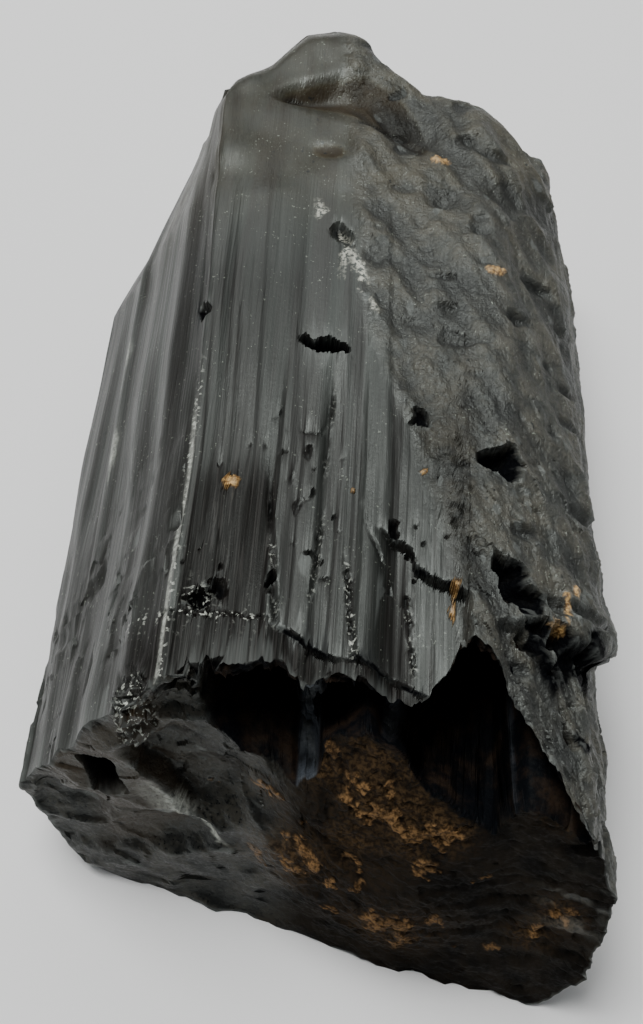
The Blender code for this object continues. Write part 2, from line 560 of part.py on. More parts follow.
def crystal_material():
    material = bpy.data.materials.new("tourmaline")
    material.use_nodes = True
    shader = material.node_tree.nodes["Principled BSDF"]
    shader.inputs["Base Color"].default_value = (0.028, 0.027, 0.026, 1.0)
    shader.inputs["Roughness"].default_value = 0.38
    shader.inputs["Metallic"].default_value = 0.0
    return material


def reduced(source):
    """The object with its flat stretches thinned out, as a plain mesh that lies flat on z = 0."""
    thin = source.modifiers.new("thin_out", "DECIMATE")
    source.data.calc_loop_triangles()
    thin.ratio = FACE_BUDGET / len(source.data.loop_triangles)
    evaluated = source.evaluated_get(bpy.context.evaluated_depsgraph_get())
    mesh = bpy.data.meshes.new_from_object(evaluated)
    source.modifiers.clear()
    source.data = mesh
    for vertex in mesh.vertices:
        if vertex.co.z < 0.02 * MM:
            vertex.co.z = 0.0
    mesh.shade_smooth()
    mesh.set_sharp_from_angle(angle=np.radians(32.0))


def main():
    for obj in list(bpy.data.objects):
        bpy.data.objects.remove(obj, do_unlink=True)
    crystal = bpy.data.objects.new(NODE_NAME, crystal_mesh())
    bpy.context.scene.collection.objects.link(crystal)
    crystal.data.materials.append(crystal_material())
    bpy.context.view_layer.update()
    reduced(crystal)


main()
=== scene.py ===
"""The looks of a black tourmaline crystal that lies on one prism face.

The crystal's own surface replaces the plain solid: the same form with its fine relief.
Lengths are millimetres up to where a mesh is made, and metres in Blender.
"""

import math
from types import SimpleNamespace

import bpy
import numpy as np
from mathutils import Matrix, Vector
from mathutils.kdtree import KDTree


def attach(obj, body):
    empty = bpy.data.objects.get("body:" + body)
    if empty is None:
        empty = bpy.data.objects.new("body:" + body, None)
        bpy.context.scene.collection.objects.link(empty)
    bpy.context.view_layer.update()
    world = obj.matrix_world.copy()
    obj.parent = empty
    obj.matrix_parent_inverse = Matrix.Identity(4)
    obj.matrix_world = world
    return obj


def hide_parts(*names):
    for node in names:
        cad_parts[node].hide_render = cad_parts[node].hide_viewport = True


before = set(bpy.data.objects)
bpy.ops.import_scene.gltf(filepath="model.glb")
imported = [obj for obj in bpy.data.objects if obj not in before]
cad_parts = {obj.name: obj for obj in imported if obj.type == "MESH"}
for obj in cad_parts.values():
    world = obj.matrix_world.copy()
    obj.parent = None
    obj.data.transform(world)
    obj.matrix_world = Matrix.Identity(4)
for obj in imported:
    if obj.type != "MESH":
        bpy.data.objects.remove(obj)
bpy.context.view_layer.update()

MM = 0.001
NODE = "tourmaline_crystal"
# The masks painted on the mesh, four to a colour layer.
MASKS = {
    "break_masks": ("near", "recess", "stain", "left"),
    "place_masks": ("rough", "far_hollow", "crumbs", "flank"),
    "hollow_masks": ("cavity", "dark_panel", "chain", "low"),
    "colour_masks": ("ore", "pale", "pillar", "gold"),
}

# ==== form constants, in millimetres, as the solid has them ====

# ---- overall form ----

# The cross-section at five places along the crystal, as (x, z) corners: left edge, ridge, shoulder,
# bevel foot, right bulge, right foot, base right, base left, left foot.
SECTION_Y = (-38, -10, 16, 28, 39)
SECTION_CORNERS = (
    ((-20.7, 9.6), (-9.8, 25.7), (12.3, 25.8), (18.9, 21.8), (21.9, 14),
     (20.9, 5.4), (17, 0), (-15, 0), (-18.8, 4.9)),
    ((-20.7, 10), (-9.3, 26), (12.5, 25.8), (18.6, 22.2), (20.7, 14.5),
     (19.9, 5), (17.4, 0), (-16.2, 0), (-19.7, 4)),
    ((-20.4, 10.5), (-10.5, 26), (11.9, 25.4), (18, 21.5), (20.3, 14),
     (18.9, 5), (16.6, 0), (-16, 0), (-19.3, 4.5)),
    ((-15.9, 11.5), (-10.9, 25.4), (10.6, 24.8), (17, 20.5), (18.7, 13.5),
     (17.7, 5.3), (15.2, 0), (-13.2, 0), (-15.6, 4.8)),
    ((-12.8, 13), (-10.6, 24.6), (8.8, 23.8), (14.8, 19.5), (16.4, 13),
     (15.4, 5.5), (13.2, 0), (-10.6, 0), (-12.7, 5)),
)
CORNER_ROUNDING = 0.9
# (x, y) that becomes the middle; all numbers here are from before that move.
MIDDLE = (0.57, 0.38)
SHOULDER, BEVEL_FOOT = 2, 3

# ---- near end: a leaning break with a deep recess under the edge of the top face ----

# y of the foot of the break over x, and its lean per millimetre of height.
NEAR_FOOT = ((-21, 0, 7, 13, 21), (-29.9, -34.95, -36.9, -38.1, -39.7))
NEAR_LEAN = ((-12, -3), (0.18, 0.31))
# y of the broken edge of the top face and of the bevel, over x.
NEAR_EDGE = (
    (-6.5, -5, -3, -1.6, -0.5, -0.3, 0.4, 0.6, 1.5, 2.7, 4.6, 6.6, 7.7, 8.6, 9.4, 10.4,
     12.2, 14, 15.8, 17, 18.6),
    (-26.4, -25.8, -25.3, -25.5, -26.1, -26.8, -26.8, -26.2, -25.6, -25.7, -26.8, -27.1, -26.5,
     -25.1, -23.3, -22.7, -24, -27, -29.3, -31.5, -34),
)
LATH_ENDS = (0.55, 0.5)
# The recess under that edge: its start in x, y of its back wall, z of its front edge, how steeply its
# floor starts, and how deep it lies behind the front edge.
RECESS_START = (-6.9, -5.7)
RECESS_BACK = (
    (-5.8, -1, -0.5, 0.8, 1.3, 4.4, 4.9, 6.4, 8.2, 9.2, 15, 16.2, 17.2, 18.5),
    (-21.5, -21.5, -25.4, -25.4, -21, -21, -25.2, -25.2, -24, -18.5, -19, -24, -28.5, -33),
)
RECESS_FLOOR = (
    (-9, -6.7, -5.4, -3.6, -1.6, -0.3, 0.6, 1.6, 2.2, 3.9, 5.4, 6.6, 8.2, 9.8, 11.8, 12.6, 13.4,
     14.6, 15.4, 17, 19),
    (22.4, 21, 19.4, 18.2, 17.6, 17.5, 18.8, 21.2, 22.4, 23.5, 22.9, 22.3, 20.4, 19.1, 18, 17.7,
     20.2, 21, 20.8, 19.8, 18.4),
)
FLOOR_RISE = (0.3, 1.2)
FLOOR_SINK = ((-5, -1, 1, 2.5, 11, 13, 15.5), (0.6, 0.6, 2.4, 3.2, 3.2, 1.8, 0))
# Broken column ends in that back wall: width and how far they stand out.
COLUMN_ENDS = (0.9, 1.3)
ROOF_THICKNESS = 1.2
# Bowl-shaped breaks in the near face: x, z, half width, half height, depth, tilt in degrees.
NEAR_BOWLS = (
    (-1.2, 13.4, 3, 2.4, 0.8, 10), (-4.5, 2, 5.5, 2.2, 0.8, 8), (-16.5, 9, 3.2, 2.6, 0.9, -20),
    (-10, 8.6, 3.8, 2.6, 0.8, 15),
)
# The deep hole with straight sides at the left: x, z, half length, half height, depth, tilt.
NEAR_HOLE = (-13.8, 14.1, 1.75, 1.15, 3.4, -70)
MOUND = (5, 12.2, 9.5, 10.2, -1.9, -8)
# Ledges in the near face: a line from (x, z) to (x, z), then how far the face steps in above it.
NEAR_LEDGES = (
    (-12, 16.6, -7.2, 10.6, 1.9, 0.5), (-17.5, 3, -6, 7.6, 0.45, 0.5), (-9.6, 22.4, -6.7, 21, 0.9, 0.3),
    (-6.7, 21, -2, 17.6, 1.1, 0.3), (1, 13.6, 4, 10.6, 0.5, 0.4),
)
# Wavy layers at the lower right: thickness, how far each steps in, and where they fade out in x and z.
NEAR_LAYERS = (1.9, 0.32)
NEAR_LAYERS_X = (5, 11)
NEAR_LAYERS_Z = (17.5, 12)
SCALLOP_SIZE = 5.2
SCALLOP_DEPTH = 0.9

# ---- far end: a rounded rim with a shallow hollow behind it ----

FAR_EDGE = (
    (-12.5, -10.2, -7, -4.1, -1.4, 1.4, 4.2, 6, 9.9, 12.8, 15.3, 17),
    (26.9, 30.6, 34, 38.3, 39.5, 38.4, 33.8, 30.6, 30.6, 29.2, 26.6, 23.4),
)
# Flat breaks below that rim: y at the middle, slope across and slope upwards.
FAR_FACETS = ((33.8, 0.22, 0.05), (32.6, -0.34, 0.12), (34, -0.05, -0.28))
FAR_LIMIT = 37.5
# The hollow behind the rim: middle of its front side (x, y), half length and turn of that side,
# and how far back its wall stands along it. Then its depth, and where its wall starts and ends.
FAR_HOLLOW = (0, 25.4, 8.2, -27)
FAR_HOLLOW_BACK = ((-7.8, -6, -4, -2, 0.5, 2.8, 5.8, 8), (1.2, 3, 5.6, 7.3, 7, 5.4, 3, 1.6))
FAR_HOLLOW_DEPTH = 1.7
FAR_HOLLOW_WALL = (1.6, -3.2)
FAR_DENT = (-1.3, 21.5, 2.2, 1.2, 0.2, -20)
FAR_ROLL = (2.4, 0.6)

# ---- relief of the prism faces ----

# Rounded ribs on the left flank: height along the slope from the left edge, half width, height.
LEFT_RIBS = ((2.6, 1.3, 0.35), (6.9, 0.9, 0.4), (11.6, 1.7, 0.6), (16.2, 1.2, 0.45))
# Long grooves in the top face: x at the near edge, x at the far end of it, y range, half width, depth.
TOP_GROOVES = (
    (-2.2, -3.4, -22.4, -12.5, 0.3, 0.36), (-0.1, 0.3, -20.6, -14.5, 0.18, 0.26),
    (0.3, 0.5, -10.5, -4, 0.18, 0.18), (2.8, 2, -24.4, -17.8, 0.2, 0.22),
    (6.6, 6.1, -24.6, -20.4, 0.18, 0.24), (4.2, 3.4, -17.4, -15.4, 0.24, 0.4),
)
# Panels of the top face between the grooves: x of their two sides, and the height of each.
PANELS = (
    (-9.4, -7.8, -3.2, -2.8, -0.2, 0.2, 2.5, 3, 4.8, 5.3, 8.4, 9.6),
    (0, -0.25, -0.3, 0.05, 0.05, -0.15, -0.15, 0.12, 0.12, -0.1, -0.1, 0),
)
PANEL_REACH_Y = (-12, 4)
# The ledge where the rough right part of the top face ends above the smooth panels: x and y.
LEDGE = (
    (4.3, 5, 5.7, 6.3, 6.5, 7.2, 8.2, 8.8, 9.3),
    (-14.9, -16, -16.3, -16.8, -18, -18.3, -18.7, -19.1, -19.7),
)
LEDGE_HEIGHT = 0.75
# The crack across the top face, parallel to the near end.
CRACK = (
    (-8.6, -5.7, -2.9, -0.6, 1.7, 3.2, 5.4, 7.8),
    (-22.1, -22.1, -22.4, -23.7, -24.9, -24.8, -25.7, -26.6),
)
CRACK_HALF_WIDTH = 0.2
CRACK_DEPTH = 0.1
# How far the slab in front of the crack has dropped, over x.
SLAB_DROP = (
    (-3.2, -1.8, -0.4, 1.5, 2.3, 3.2, 5.4, 7.4, 8.4),
    (0, 0.3, 0.5, 0.45, 0.1, 0.5, 0.42, 0.25, 0),
)
# The outer layer on the right ends in a ragged step: x or z position round the bevel, then y.
LAYER_EDGE = ((10.5, 12.5, 14.2, 15.6, 17, 18.6, 30), (-21.4, -20.8, -21.6, -23.6, -21.4, -21.8, -16.4))
LAYER_THICKNESS = 1.15
LAYER_SWELL = (1.7, 2, 0.75)
LAYER_FADE_X = (11, 13.5)
# Pits in the top face: x, y, half width across, half length, depth, tilt in degrees.
TOP_PITS = (
    (-0.4, 0.1, 2.1, 0.6, 1.4, -28), (12.2, -8.9, 1.6, 1.3, 2, 10), (13.6, -18.6, 1.1, 2.3, 2.2, 34),
    (14.9, -21.6, 0.8, 1.4, 1.6, 25), (-7.4, -20.9, 0.9, 0.7, 0.9, -20), (-6.2, -20, 0.7, 0.9, 0.7, 30),
    (6.6, -5.9, 1, 0.4, 0.8, -15), (-9.6, 3.6, 0.6, 0.8, 0.8, 0), (0.4, 11.4, 0.8, 1.3, 0.6, 25),
    (-2.8, -19.8, 0.4, 0.6, 0.9, 0), (5.1, -15.1, 0.5, 0.4, 0.8, 0), (16.4, -22.4, 0.7, 1.7, 2, 12),
    (18.6, -21.4, 0.8, 1.6, 1.8, 8), (17.4, -27.6, 0.8, 0.9, 1.1, 20), (-6.6, -25.7, 1.5, 0.45, 1.1, 0),
)
# How far the base stands proud of z = 0 before it is worn flat there.
BASE_LIFT = 0.05
# Flutes and laths: width across, length along, height.
LATHS = ((3.1, 60, 0.24), (1.3, 45, 0.12))
# Where the worn far part of the top face begins and is complete.
WORN_Y = (9, 21)
# Soft unevenness: size across, size along, height, of the worn part, the left flank and all faces.
WORN_LUMPS = (4.6, 5.2, 0.28)
FLANK_DENTS = (2.4, 3, 0.7)
LONG_SWELLS = (4, 13, 0.25)
FLAKE_TILT = 27
FLAKE_SIZE = (1.8, 6)
FLAKE_HEIGHT = 0.46
FLAKE_FADE_Z = (9, 18)
DENT_SIZE = (2.7, 1.6)
DENT_DEPTH = 1.1
ROUGH_SIDE = ((-30, -18.5, -8, 4, 20, 40), (9.4, 8.6, 5.6, 1.5, 0, -2))
ROUGH_FADE = 2.2

# ==== end of form constants

# ---- fine mesh ----

# Distance between columns on each side of the section, from the left flank round.
SIDE_STEPS = (0.18, 0.115, 0.15, 0.24, 0.3, 0.4, 0.6, 0.35, 0.25)
ROWS = 310
ROW_CROWDING = 0.5
RIM_STEP = 0.6
CAP_RINGS = (110, 50)
CAP_CENTRE = (1, 13)
FACE_BUDGET = 196000
SHARP_ANGLE = 38

# Brown iron crust on the near break: x, z and reach of the diffuse stain and of the thick clumps.
STAINS = (
    (1.5, 19.6, 1.7), (3.4, 21.4, 2), (5.6, 20.8, 2), (7.6, 19.2, 1.8), (9.6, 17.6, 1.5), (5, 18.2, 2),
    (7.6, 16, 1.5), (6.4, 6.6, 3.2), (17.2, 11, 1.6), (15.6, 8, 1.4), (0, 10.8, 2), (-2.6, 14.8, 1.3),
    (8.4, 22.4, 1.2), (10.6, 21.2, 1.2), (16, 21.4, 1.6), (-2.2, 20.6, 1.2), (-1.8, 8.6, 2),
    (3.2, 14.6, 2.2),
)
CLUMPS = (
    (-3.1, 14.8, 0.7), (-2.1, 15.4, 0.5), (-0.2, 11.7, 0.8), (0.8, 11.1, 0.6), (-0.9, 9.3, 0.7),
    (-3.4, 8.2, 0.7), (3, 18.1, 0.6), (4.7, 17.6, 0.8), (6, 17.9, 0.7), (7, 16.9, 0.8), (8.2, 17.8, 0.6),
    (9.5, 17.3, 0.8), (3.6, 19.6, 0.6), (5.2, 6.7, 0.9), (6.9, 7.8, 1.1), (7.4, 5.3, 0.8), (9.2, 8.9, 0.9),
    (4.8, 7.9, 0.6), (12.1, 14, 0.6), (17.6, 11.3, 0.7), (16.1, 9, 0.6), (7.8, 14.3, 0.6), (8.8, 14.7, 0.5),
    (3.7, 12.6, 0.5), (1.9, 9.8, 0.6), (4, 10.6, 0.5), (6.7, 3.6, 0.6), (-6.2, 12.6, 0.4), (10.9, 5.2, 0.5),
    (2.2, 6.4, 0.5), (13.6, 5.4, 0.6), (0, 14.2, 0.4), (9.2, 22.3, 0.5), (5.6, 20.6, 0.5), (1.9, 20.9, 0.5),
)
# Broken column ends in the recess that catch the light, painted lighter as a highlight: x of both sides,
# lowest and highest z.
PILLARS = ((-0.5, 0.9, 14.5, 40), (4.8, 6.5, 23, 40), (11.8, 13.4, 20, 21))
# Golden and orange grains on the prism faces: x, y, half width, half length.
GRAINS = (
    (-6, -12.1, 0.55, 0.42), (7.7, 21.3, 0.8, 0.5), (12.1, 8.8, 0.8, 0.4), (16.6, -19.2, 0.22, 1.1),
    (9, -20.7, 0.16, 0.75), (9.1, -19.3, 0.3, 0.4), (15.9, -20.6, 0.4, 0.35), (17.3, -17.8, 0.3, 0.4),
    (6.9, -10.4, 0.2, 0.2), (2.2, -12.2, 0.18, 0.18),
)
# The bright sliver at the left of the near break, pale partly in its own colour and partly as a painted
# highlight: its corners, and its streaks' direction, in x and z.
SLIVER = ((-12, 13.2), (-10.9, 14.6), (-5.3, 7.9), (-9.4, 9.9))
SLIVER_STREAKS = (0.61, -0.79)
# The streaks at the lower right of the near break: middle x and z, half width and half height.
GLOSSY_SPOT = (18.6, 12.2, 2.2, 2.6)
# The bright band along the left flank: distance up the flank over y. Then pale spots beside it.
BRIGHT_BAND = ((-30, -22, -15, -7, 3, 11), (17.6, 17.2, 16.6, 16, 13.5, 11.5))
FLANK_SPOTS = ((6.6, 6.9), (7, -2.7))
# Strands along the step in the near break: x over which they run, z at those places.
STRANDS = ((-9.4, -8.2, -6.7, -5.2, -3.2, -1.6, 0.2), (22.6, 22.2, 21.1, 19.6, 18.4, 17.5, 17.3))
# How many pale crumbs, partly painted glints, lie along each groove of the top face, from 0 to 1.
GROOVE_CRUMBS = (0.5, 0.4, 0.2, 1, 0.9, 0)
# Pale crumbs, partly painted glints, also lie along the left ridge and round a pair of pits.
RIDGE_X = -9.1
CRUMBLY_PITS = (-7.3, -20.9)
# The chain of pale crumbs: x over y.
PALE_CHAIN = ((3, 5.8, 8.5, 10, 11.5, 13, 15), (3.2, 2.2, 1.7, 0.7, 0.4, -0.8, -1.9))
# The shattered near left corner: middle, and how far it reaches along x, y and z.
CRUMBLED_AT = (-10.9, -27.8, 21.4)
CRUMBLED_REACH = (1.3, 2.4, 3.6)

# Fine laths of the prism faces: width across, length along, slope.
FINE_LATHS = ((2.3, 70, 0.045), (0.9, 60, 0.05), (0.42, 45, 0.06))

# ---- colours ----

# Dark and light of each pair that a texture mixes.
COLOURS = {
    "face": ((0.009, 0.0075, 0.0065), (0.018, 0.021, 0.018)),
    "earthy": ((0.026, 0.027, 0.024), (0.078, 0.072, 0.055)),
    "panel": ((0.0045, 0.0035, 0.003), (0.03, 0.028, 0.026)),
    "chain": ((0.04, 0.045, 0.04), (0.52, 0.52, 0.44)),
    "gold": ((0.14, 0.07, 0.02), (0.6, 0.38, 0.15)),
    "matrix": ((0.005, 0.0042, 0.0036), (0.016, 0.0125, 0.009)),
    "shard": ((0.0025, 0.0025, 0.0025), (0.027, 0.024, 0.018)),
    "rust": ((0.017, 0.01, 0.005), (0.072, 0.044, 0.02)),
    "ochre": ((0.05, 0.027, 0.01), (0.25, 0.142, 0.06)),
    # The recess colours next are painted shade, their lighter patches standing in for the little light that
    # reaches in; the column-end colours after them are a painted highlight.
    "cave_shade": ((0.0022, 0.0027, 0.0038), (0.022, 0.014, 0.009)),
    "pillar": ((0.008, 0.01, 0.014), (0.04, 0.047, 0.058)),
    "pale": ((0.18, 0.19, 0.17), (0.6, 0.62, 0.55)),
}
FAR_EARTH, FAR_SHADE = (0.06, 0.046, 0.018), (0.02, 0.013, 0.007)
FLANK_BLACK, FLAKE_LOW_SHADE = (0.01, 0.0095, 0.008), (0.006, 0.006, 0.006)
GLINT_SPECK, DARK_SPECK, PIT_AND_STEP_SHADE = (0.2, 0.22, 0.18), (0.002, 0.002, 0.002), (0.002, 0.0022, 0.003)
DEEP_BLACK, SHARD_BROWN = (0.003, 0.003, 0.003), (0.04, 0.025, 0.012)
CRUMB_AND_GLINT, EDGE_WEAR_AND_HIGHLIGHT = (0.5, 0.52, 0.46), (0.085, 0.092, 0.086)
# Textures: noise scale per metre across, along and up, then detail and roughness.
TEXTURES = {
    "streaks": ((5000, 30, 5000), 3, 0.5),
    "hairlines": ((9000, 45, 9000), 2, 0.5),
    "bands": ((900, 25, 900), 4, 0.5),
    "grain": ((3500, 3500, 3500), 4, 0.6),
    "patches": ((420, 420, 420), 5, 0.65),
    "broad": ((110, 60, 110), 3, 0.5),
    "light_specks": ((5600, 4400, 5600), 1, 0.5),
    "dark_specks": ((2400, 1500, 2400), 2, 0.5),
    "glints": ((3400, 3400, 3400), 2, 0.5),
}
IOR = 1.64
MIRROR_TINT = (0.93, 1, 0.94)

# ---- camera, light and floor ----

CAMERA_AT = (2.53, -62.08, 97.6)
CAMERA_PITCH = 56.47
CAMERA_YAW = 3.49
CAMERA_LENS = 45.7
SENSOR = 36
# Lights: name, place, size and power in watts, all aimed at one place. The sky: colour and strength.
LIGHTS = (
    ("key_above", (-0.16, 0.14, 0.75), (0.4, 0.4), 6.4),
    ("card_behind", (0.05, 0.75, 0.85), (1.3, 0.8), 3.6),
    ("card_left", (-0.7, 0.15, 0.35), (0.4, 0.5), 0.6),
)
LIGHTS_AIM = (0, 0, 0.012)
FLOOR_SIZE = 4
FLOOR_COLOUR = (0.92, 0.92, 0.91, 1)
SKY = ((0.92, 0.96, 1, 1), 0.16)


# ==== form functions, as the solid has them ====


def hashed(*cells):
    """A repeatable random number from 0 to 1 for each integer cell."""
    mixed = np.zeros(np.broadcast(*cells).shape, dtype=np.uint64)
    for cell, prime in zip(cells, (73856093, 19349663, 83492791, 49979687)):
        mixed ^= (cell.astype(np.int64) + 100003).astype(np.uint64) * np.uint64(prime)
    mixed = (mixed ^ (mixed >> np.uint64(13))) * np.uint64(1274126177)
    mixed = (mixed ^ (mixed >> np.uint64(16))) * np.uint64(2246822519)
    return ((mixed >> np.uint64(8)) & np.uint64(0xFFFFFF)).astype(float) / 0xFFFFFF


def smooth(low, high, value):
    """0 below low, 1 above high and an even curve between them."""
    t = np.clip((value - low) / (high - low), 0, 1)
    return t * t * (3 - 2 * t)


def noise(a, b, seed):
    """Soft random relief from -1 to 1 with bumps one unit apart."""
    ia, ib = np.floor(a), np.floor(b)
    fa, fb = a - ia, b - ib
    fa, fb = fa * fa * (3 - 2 * fa), fb * fb * (3 - 2 * fb)
    at = np.full_like(ia, seed)
    low = hashed(ia, ib, at) * (1 - fa) + hashed(ia + 1, ib, at) * fa
    high = hashed(ia, ib + 1, at) * (1 - fa) + hashed(ia + 1, ib + 1, at) * fa
    return 2 * (low * (1 - fb) + high * fb) - 1


def layered(a, b, seed, layers):
    """Several scales of soft relief added up, each half the one before."""
    return sum(noise(a * 2**i, b * 2**i, seed + i) / 2**i for i in range(layers))


def cells_near(a, b, seed, margin):
    """Each cell round a place, its seeds, and the way from its random point to there."""
    ia, ib = np.floor(a), np.floor(b)
    for da in (-1, 0, 1):
        for db in (-1, 0, 1):
            ca, cb = ia + da, ib + db
            seeds = np.full_like(ca, seed)
            pa = ca + margin + (1 - 2 * margin) * hashed(ca, cb, seeds)
            pb = cb + margin + (1 - 2 * margin) * hashed(ca, cb, seeds + 57)
            yield ca, cb, seeds, a - pa, b - pb


def swells(a, b, shape, seed):
    """Soft unevenness of this size across, size along and height."""
    across, along, height = shape
    return height * layered(a / across, b / along, seed, 2)


def scallops(a, b, seed):
    """Shallow bowls that meet in sharp ridges: 0 in a bowl's middle, 1 on a ridge."""
    nearest = np.full(np.broadcast(a, b).shape, 9.0)
    for _ca, _cb, _seeds, away_a, away_b in cells_near(a, b, seed, 0.15):
        nearest = np.minimum(nearest, away_a**2 + away_b**2)
    return np.minimum(nearest, 1)


def strip_height(strip, along, seed, channel=0, step=(0, 1)):
    """Height of one strip, changing along it within the step."""
    seeds = np.full_like(strip, seed)
    place = along + 3 * hashed(strip, seeds)
    piece = np.floor(place)
    share = smooth(*step, place - piece)
    here, then = (hashed(strip, piece + i, seeds + channel) for i in (0, 1))
    return here * (1 - share) + then * share


def laths(across, along, width, length, seed):
    """Long strips side by side at random heights from 0 to 1."""
    warped = across / width + 0.35 * noise(across / (2.3 * width), along * 0 + 0.5, seed)
    strip = np.floor(warped)
    to_next = smooth(0.8, 1, warped - strip)
    return strip_height(strip, along / length, seed) * (1 - to_next) \
        + strip_height(strip + 1, along / length, seed) * to_next


def turned(a, b, degrees):
    """The place (a, b) on axes turned by this angle."""
    cos, sin = np.cos(np.radians(degrees)), np.sin(np.radians(degrees))
    return a * cos + b * sin, b * cos - a * sin


def torn(a, b, seed, reach, size_a, size_b, layers=2):
    """The place (a, b) shifted by noise, so that borders read there are ragged."""
    return tuple(c + reach * layered(a / size_a, b / size_b, seed + i, layers) for c, i in ((a, 0), (b, 4)))


def bowl(a, b, shape, steep=0.6):
    """Depth of a rounded break: centre a, centre b, half width, half height, depth, tilt."""
    centre_a, centre_b, half_a, half_b, depth, tilt = shape
    u, v = turned(a - centre_a, b - centre_b, tilt)
    u, v = u / half_a, v / half_b
    return depth * np.clip(1 - u * u - v * v, 0, 1) ** steep


def ledge(x, z, shape):
    """How far the near face steps in above a line, fading out past its ends."""
    from_x, from_z, to_x, to_z, height, ramp = shape
    length = np.hypot(to_x - from_x, to_z - from_z)
    along_x, along_z = (to_x - from_x) / length, (to_z - from_z) / length
    along = (x - from_x) * along_x + (z - from_z) * along_z
    above = (z - from_z) * along_x - (x - from_x) * along_z
    ends = smooth(-1.5, 1, along) * smooth(length + 1.5, length - 1, along)
    return height * ends * smooth(-0.2, ramp, above) * smooth(9, 3, above)


def section_lengths():
    """Where each corner lies along the outline of the middle section."""
    corners = np.array(SECTION_CORNERS[1])
    sides = np.linalg.norm(np.roll(corners, -1, axis=0) - corners, axis=1)
    return np.concatenate([[0], np.cumsum(sides)])


OUTLINE = section_lengths()
PERIMETER = OUTLINE[-1]


def sharp_section(s, y):
    """The point (x, z) at distance s round the cornered outline at y."""
    s = np.mod(s, PERIMETER)
    side = np.clip(np.searchsorted(OUTLINE, s, side="right") - 1, 0, 8)
    share = (s - OUTLINE[side]) / (OUTLINE[side + 1] - OUTLINE[side])
    table = np.array(SECTION_CORNERS)
    point = []
    for axis in (0, 1):
        tracks = np.stack([np.interp(y, SECTION_Y, table[:, c, axis]) for c in range(9)])
        here = np.take_along_axis(tracks, side[None], 0)[0]
        then = np.take_along_axis(tracks, ((side + 1) % 9)[None], 0)[0]
        point.append(here + (then - here) * share)
    return point[0], point[1]


def section(s, y):
    """The outline with its corners rounded."""
    samples = [sharp_section(s + shift * CORNER_ROUNDING, y) for shift in (-1, -0.4, 0.4, 1)]
    return sum(p[0] for p in samples) / 4, sum(p[1] for p in samples) / 4


def outward(s, y):
    """The outward direction (x, z) of the prism face at s."""
    ahead_x, ahead_z = section(s + 0.3, y)
    behind_x, behind_z = section(s - 0.3, y)
    dx, dz = ahead_x - behind_x, ahead_z - behind_z
    length = np.hypot(dx, dz)
    return -dz / length, dx / length


def roof_underside(x):
    """z of the underside of the roof over the recess."""
    shoulder, bevel_foot = SECTION_CORNERS[0][SHOULDER], SECTION_CORNERS[0][BEVEL_FOOT]
    top = np.interp(x, (shoulder[0], bevel_foot[0]), (shoulder[1], bevel_foot[1]))
    return top - ROOF_THICKNESS - LAYER_THICKNESS * smooth(*LAYER_FADE_X, x)


def straight_hole(x, z, shape):
    """Depth of a hole with straight sides and sharp edges."""
    centre_x, centre_z, half_x, half_z, depth, tilt = shape
    u, v = turned(x - centre_x, z - centre_z, tilt)
    return depth * smooth(1.08, 0.85, np.maximum(np.abs(u) / half_x, np.abs(v) / half_z))


def wavy_layers(x, z):
    """How far the face steps in at the layers of its lower right part."""
    thickness, step = NEAR_LAYERS
    level = (z - 0.25 * x + 0.9 * layered(x / 4, z / 6, 35, 2)) / thickness
    saw = level - np.floor(level)
    strength = 0.3 + 0.7 * hashed(np.floor(level), np.floor(x / 3 + 0.7 * noise(x / 2, level, 37)))
    inside = smooth(*NEAR_LAYERS_X, x) * smooth(*NEAR_LAYERS_Z, z)
    return step * inside * strength * (smooth(0, 0.22, saw) - saw)


def ragged_place(x, z):
    """The place on the near break from which a form is read."""
    return torn(x, z, 11, 0.5, 2.4, 2.4)


def near_face(x, z):
    """y of the break at the near end."""
    ragged_x, ragged_z = ragged_place(x, z)
    face = np.interp(x, *NEAR_FOOT) + np.interp(x, *NEAR_LEAN) * z
    for form, shapes in ((bowl, NEAR_BOWLS), (ledge, NEAR_LEDGES)):
        face = face + sum(form(ragged_x, ragged_z, shape) for shape in shapes)
    face = face + bowl(ragged_x, ragged_z, MOUND, 1.1) + wavy_layers(x, z)
    face = face + straight_hole(0.5 * (x + ragged_x), 0.5 * (z + ragged_z), NEAR_HOLE)
    bowls = scallops(x / SCALLOP_SIZE, z / (0.7 * SCALLOP_SIZE), 21)
    face = face - SCALLOP_DEPTH * (bowls - 0.4) * (0.35 + 0.65 * smooth(-2, -7, x))
    floor = np.interp(ragged_x, *RECESS_FLOOR)
    column_width, column_reach = COLUMN_ENDS
    back = np.interp(ragged_x, *RECESS_BACK) + 0.5 * layered(x / 1.7, z / 1.7, 31, 2)
    back = back - column_reach * (laths(x, z, column_width, 4, 33) - 0.6)
    underside = roof_underside(x)
    above_floor = smooth(floor, floor + np.clip(0.5 * (underside - floor), *FLOOR_RISE), z)
    within = smooth(*RECESS_START, x)
    face = face + (np.maximum(back, face) - face) * above_floor * within
    lath_width, lath_reach = LATH_ENDS
    edge = np.interp(x, *NEAR_EDGE) + lath_reach * (laths(x, z * 0, lath_width, 50, 41) - 0.5)
    in_roof = smooth(underside - 0.3, underside + 0.15, ragged_z) * within
    return face + (edge - face) * in_roof


def floor_sink(x, z):
    """How far the floor of the recess lies below the height worked out for it."""
    floor, underside = np.interp(ragged_place(x, z)[0], *RECESS_FLOOR), roof_underside(x)
    from_roof = np.clip((underside - z) / np.maximum(underside - floor, 0.5), 0, 1)
    behind_front = smooth(0.05, 0.55, z - floor) * smooth(*RECESS_START, x)
    return np.interp(x, *FLOOR_SINK) * behind_front * smooth(0, 0.6, from_roof)


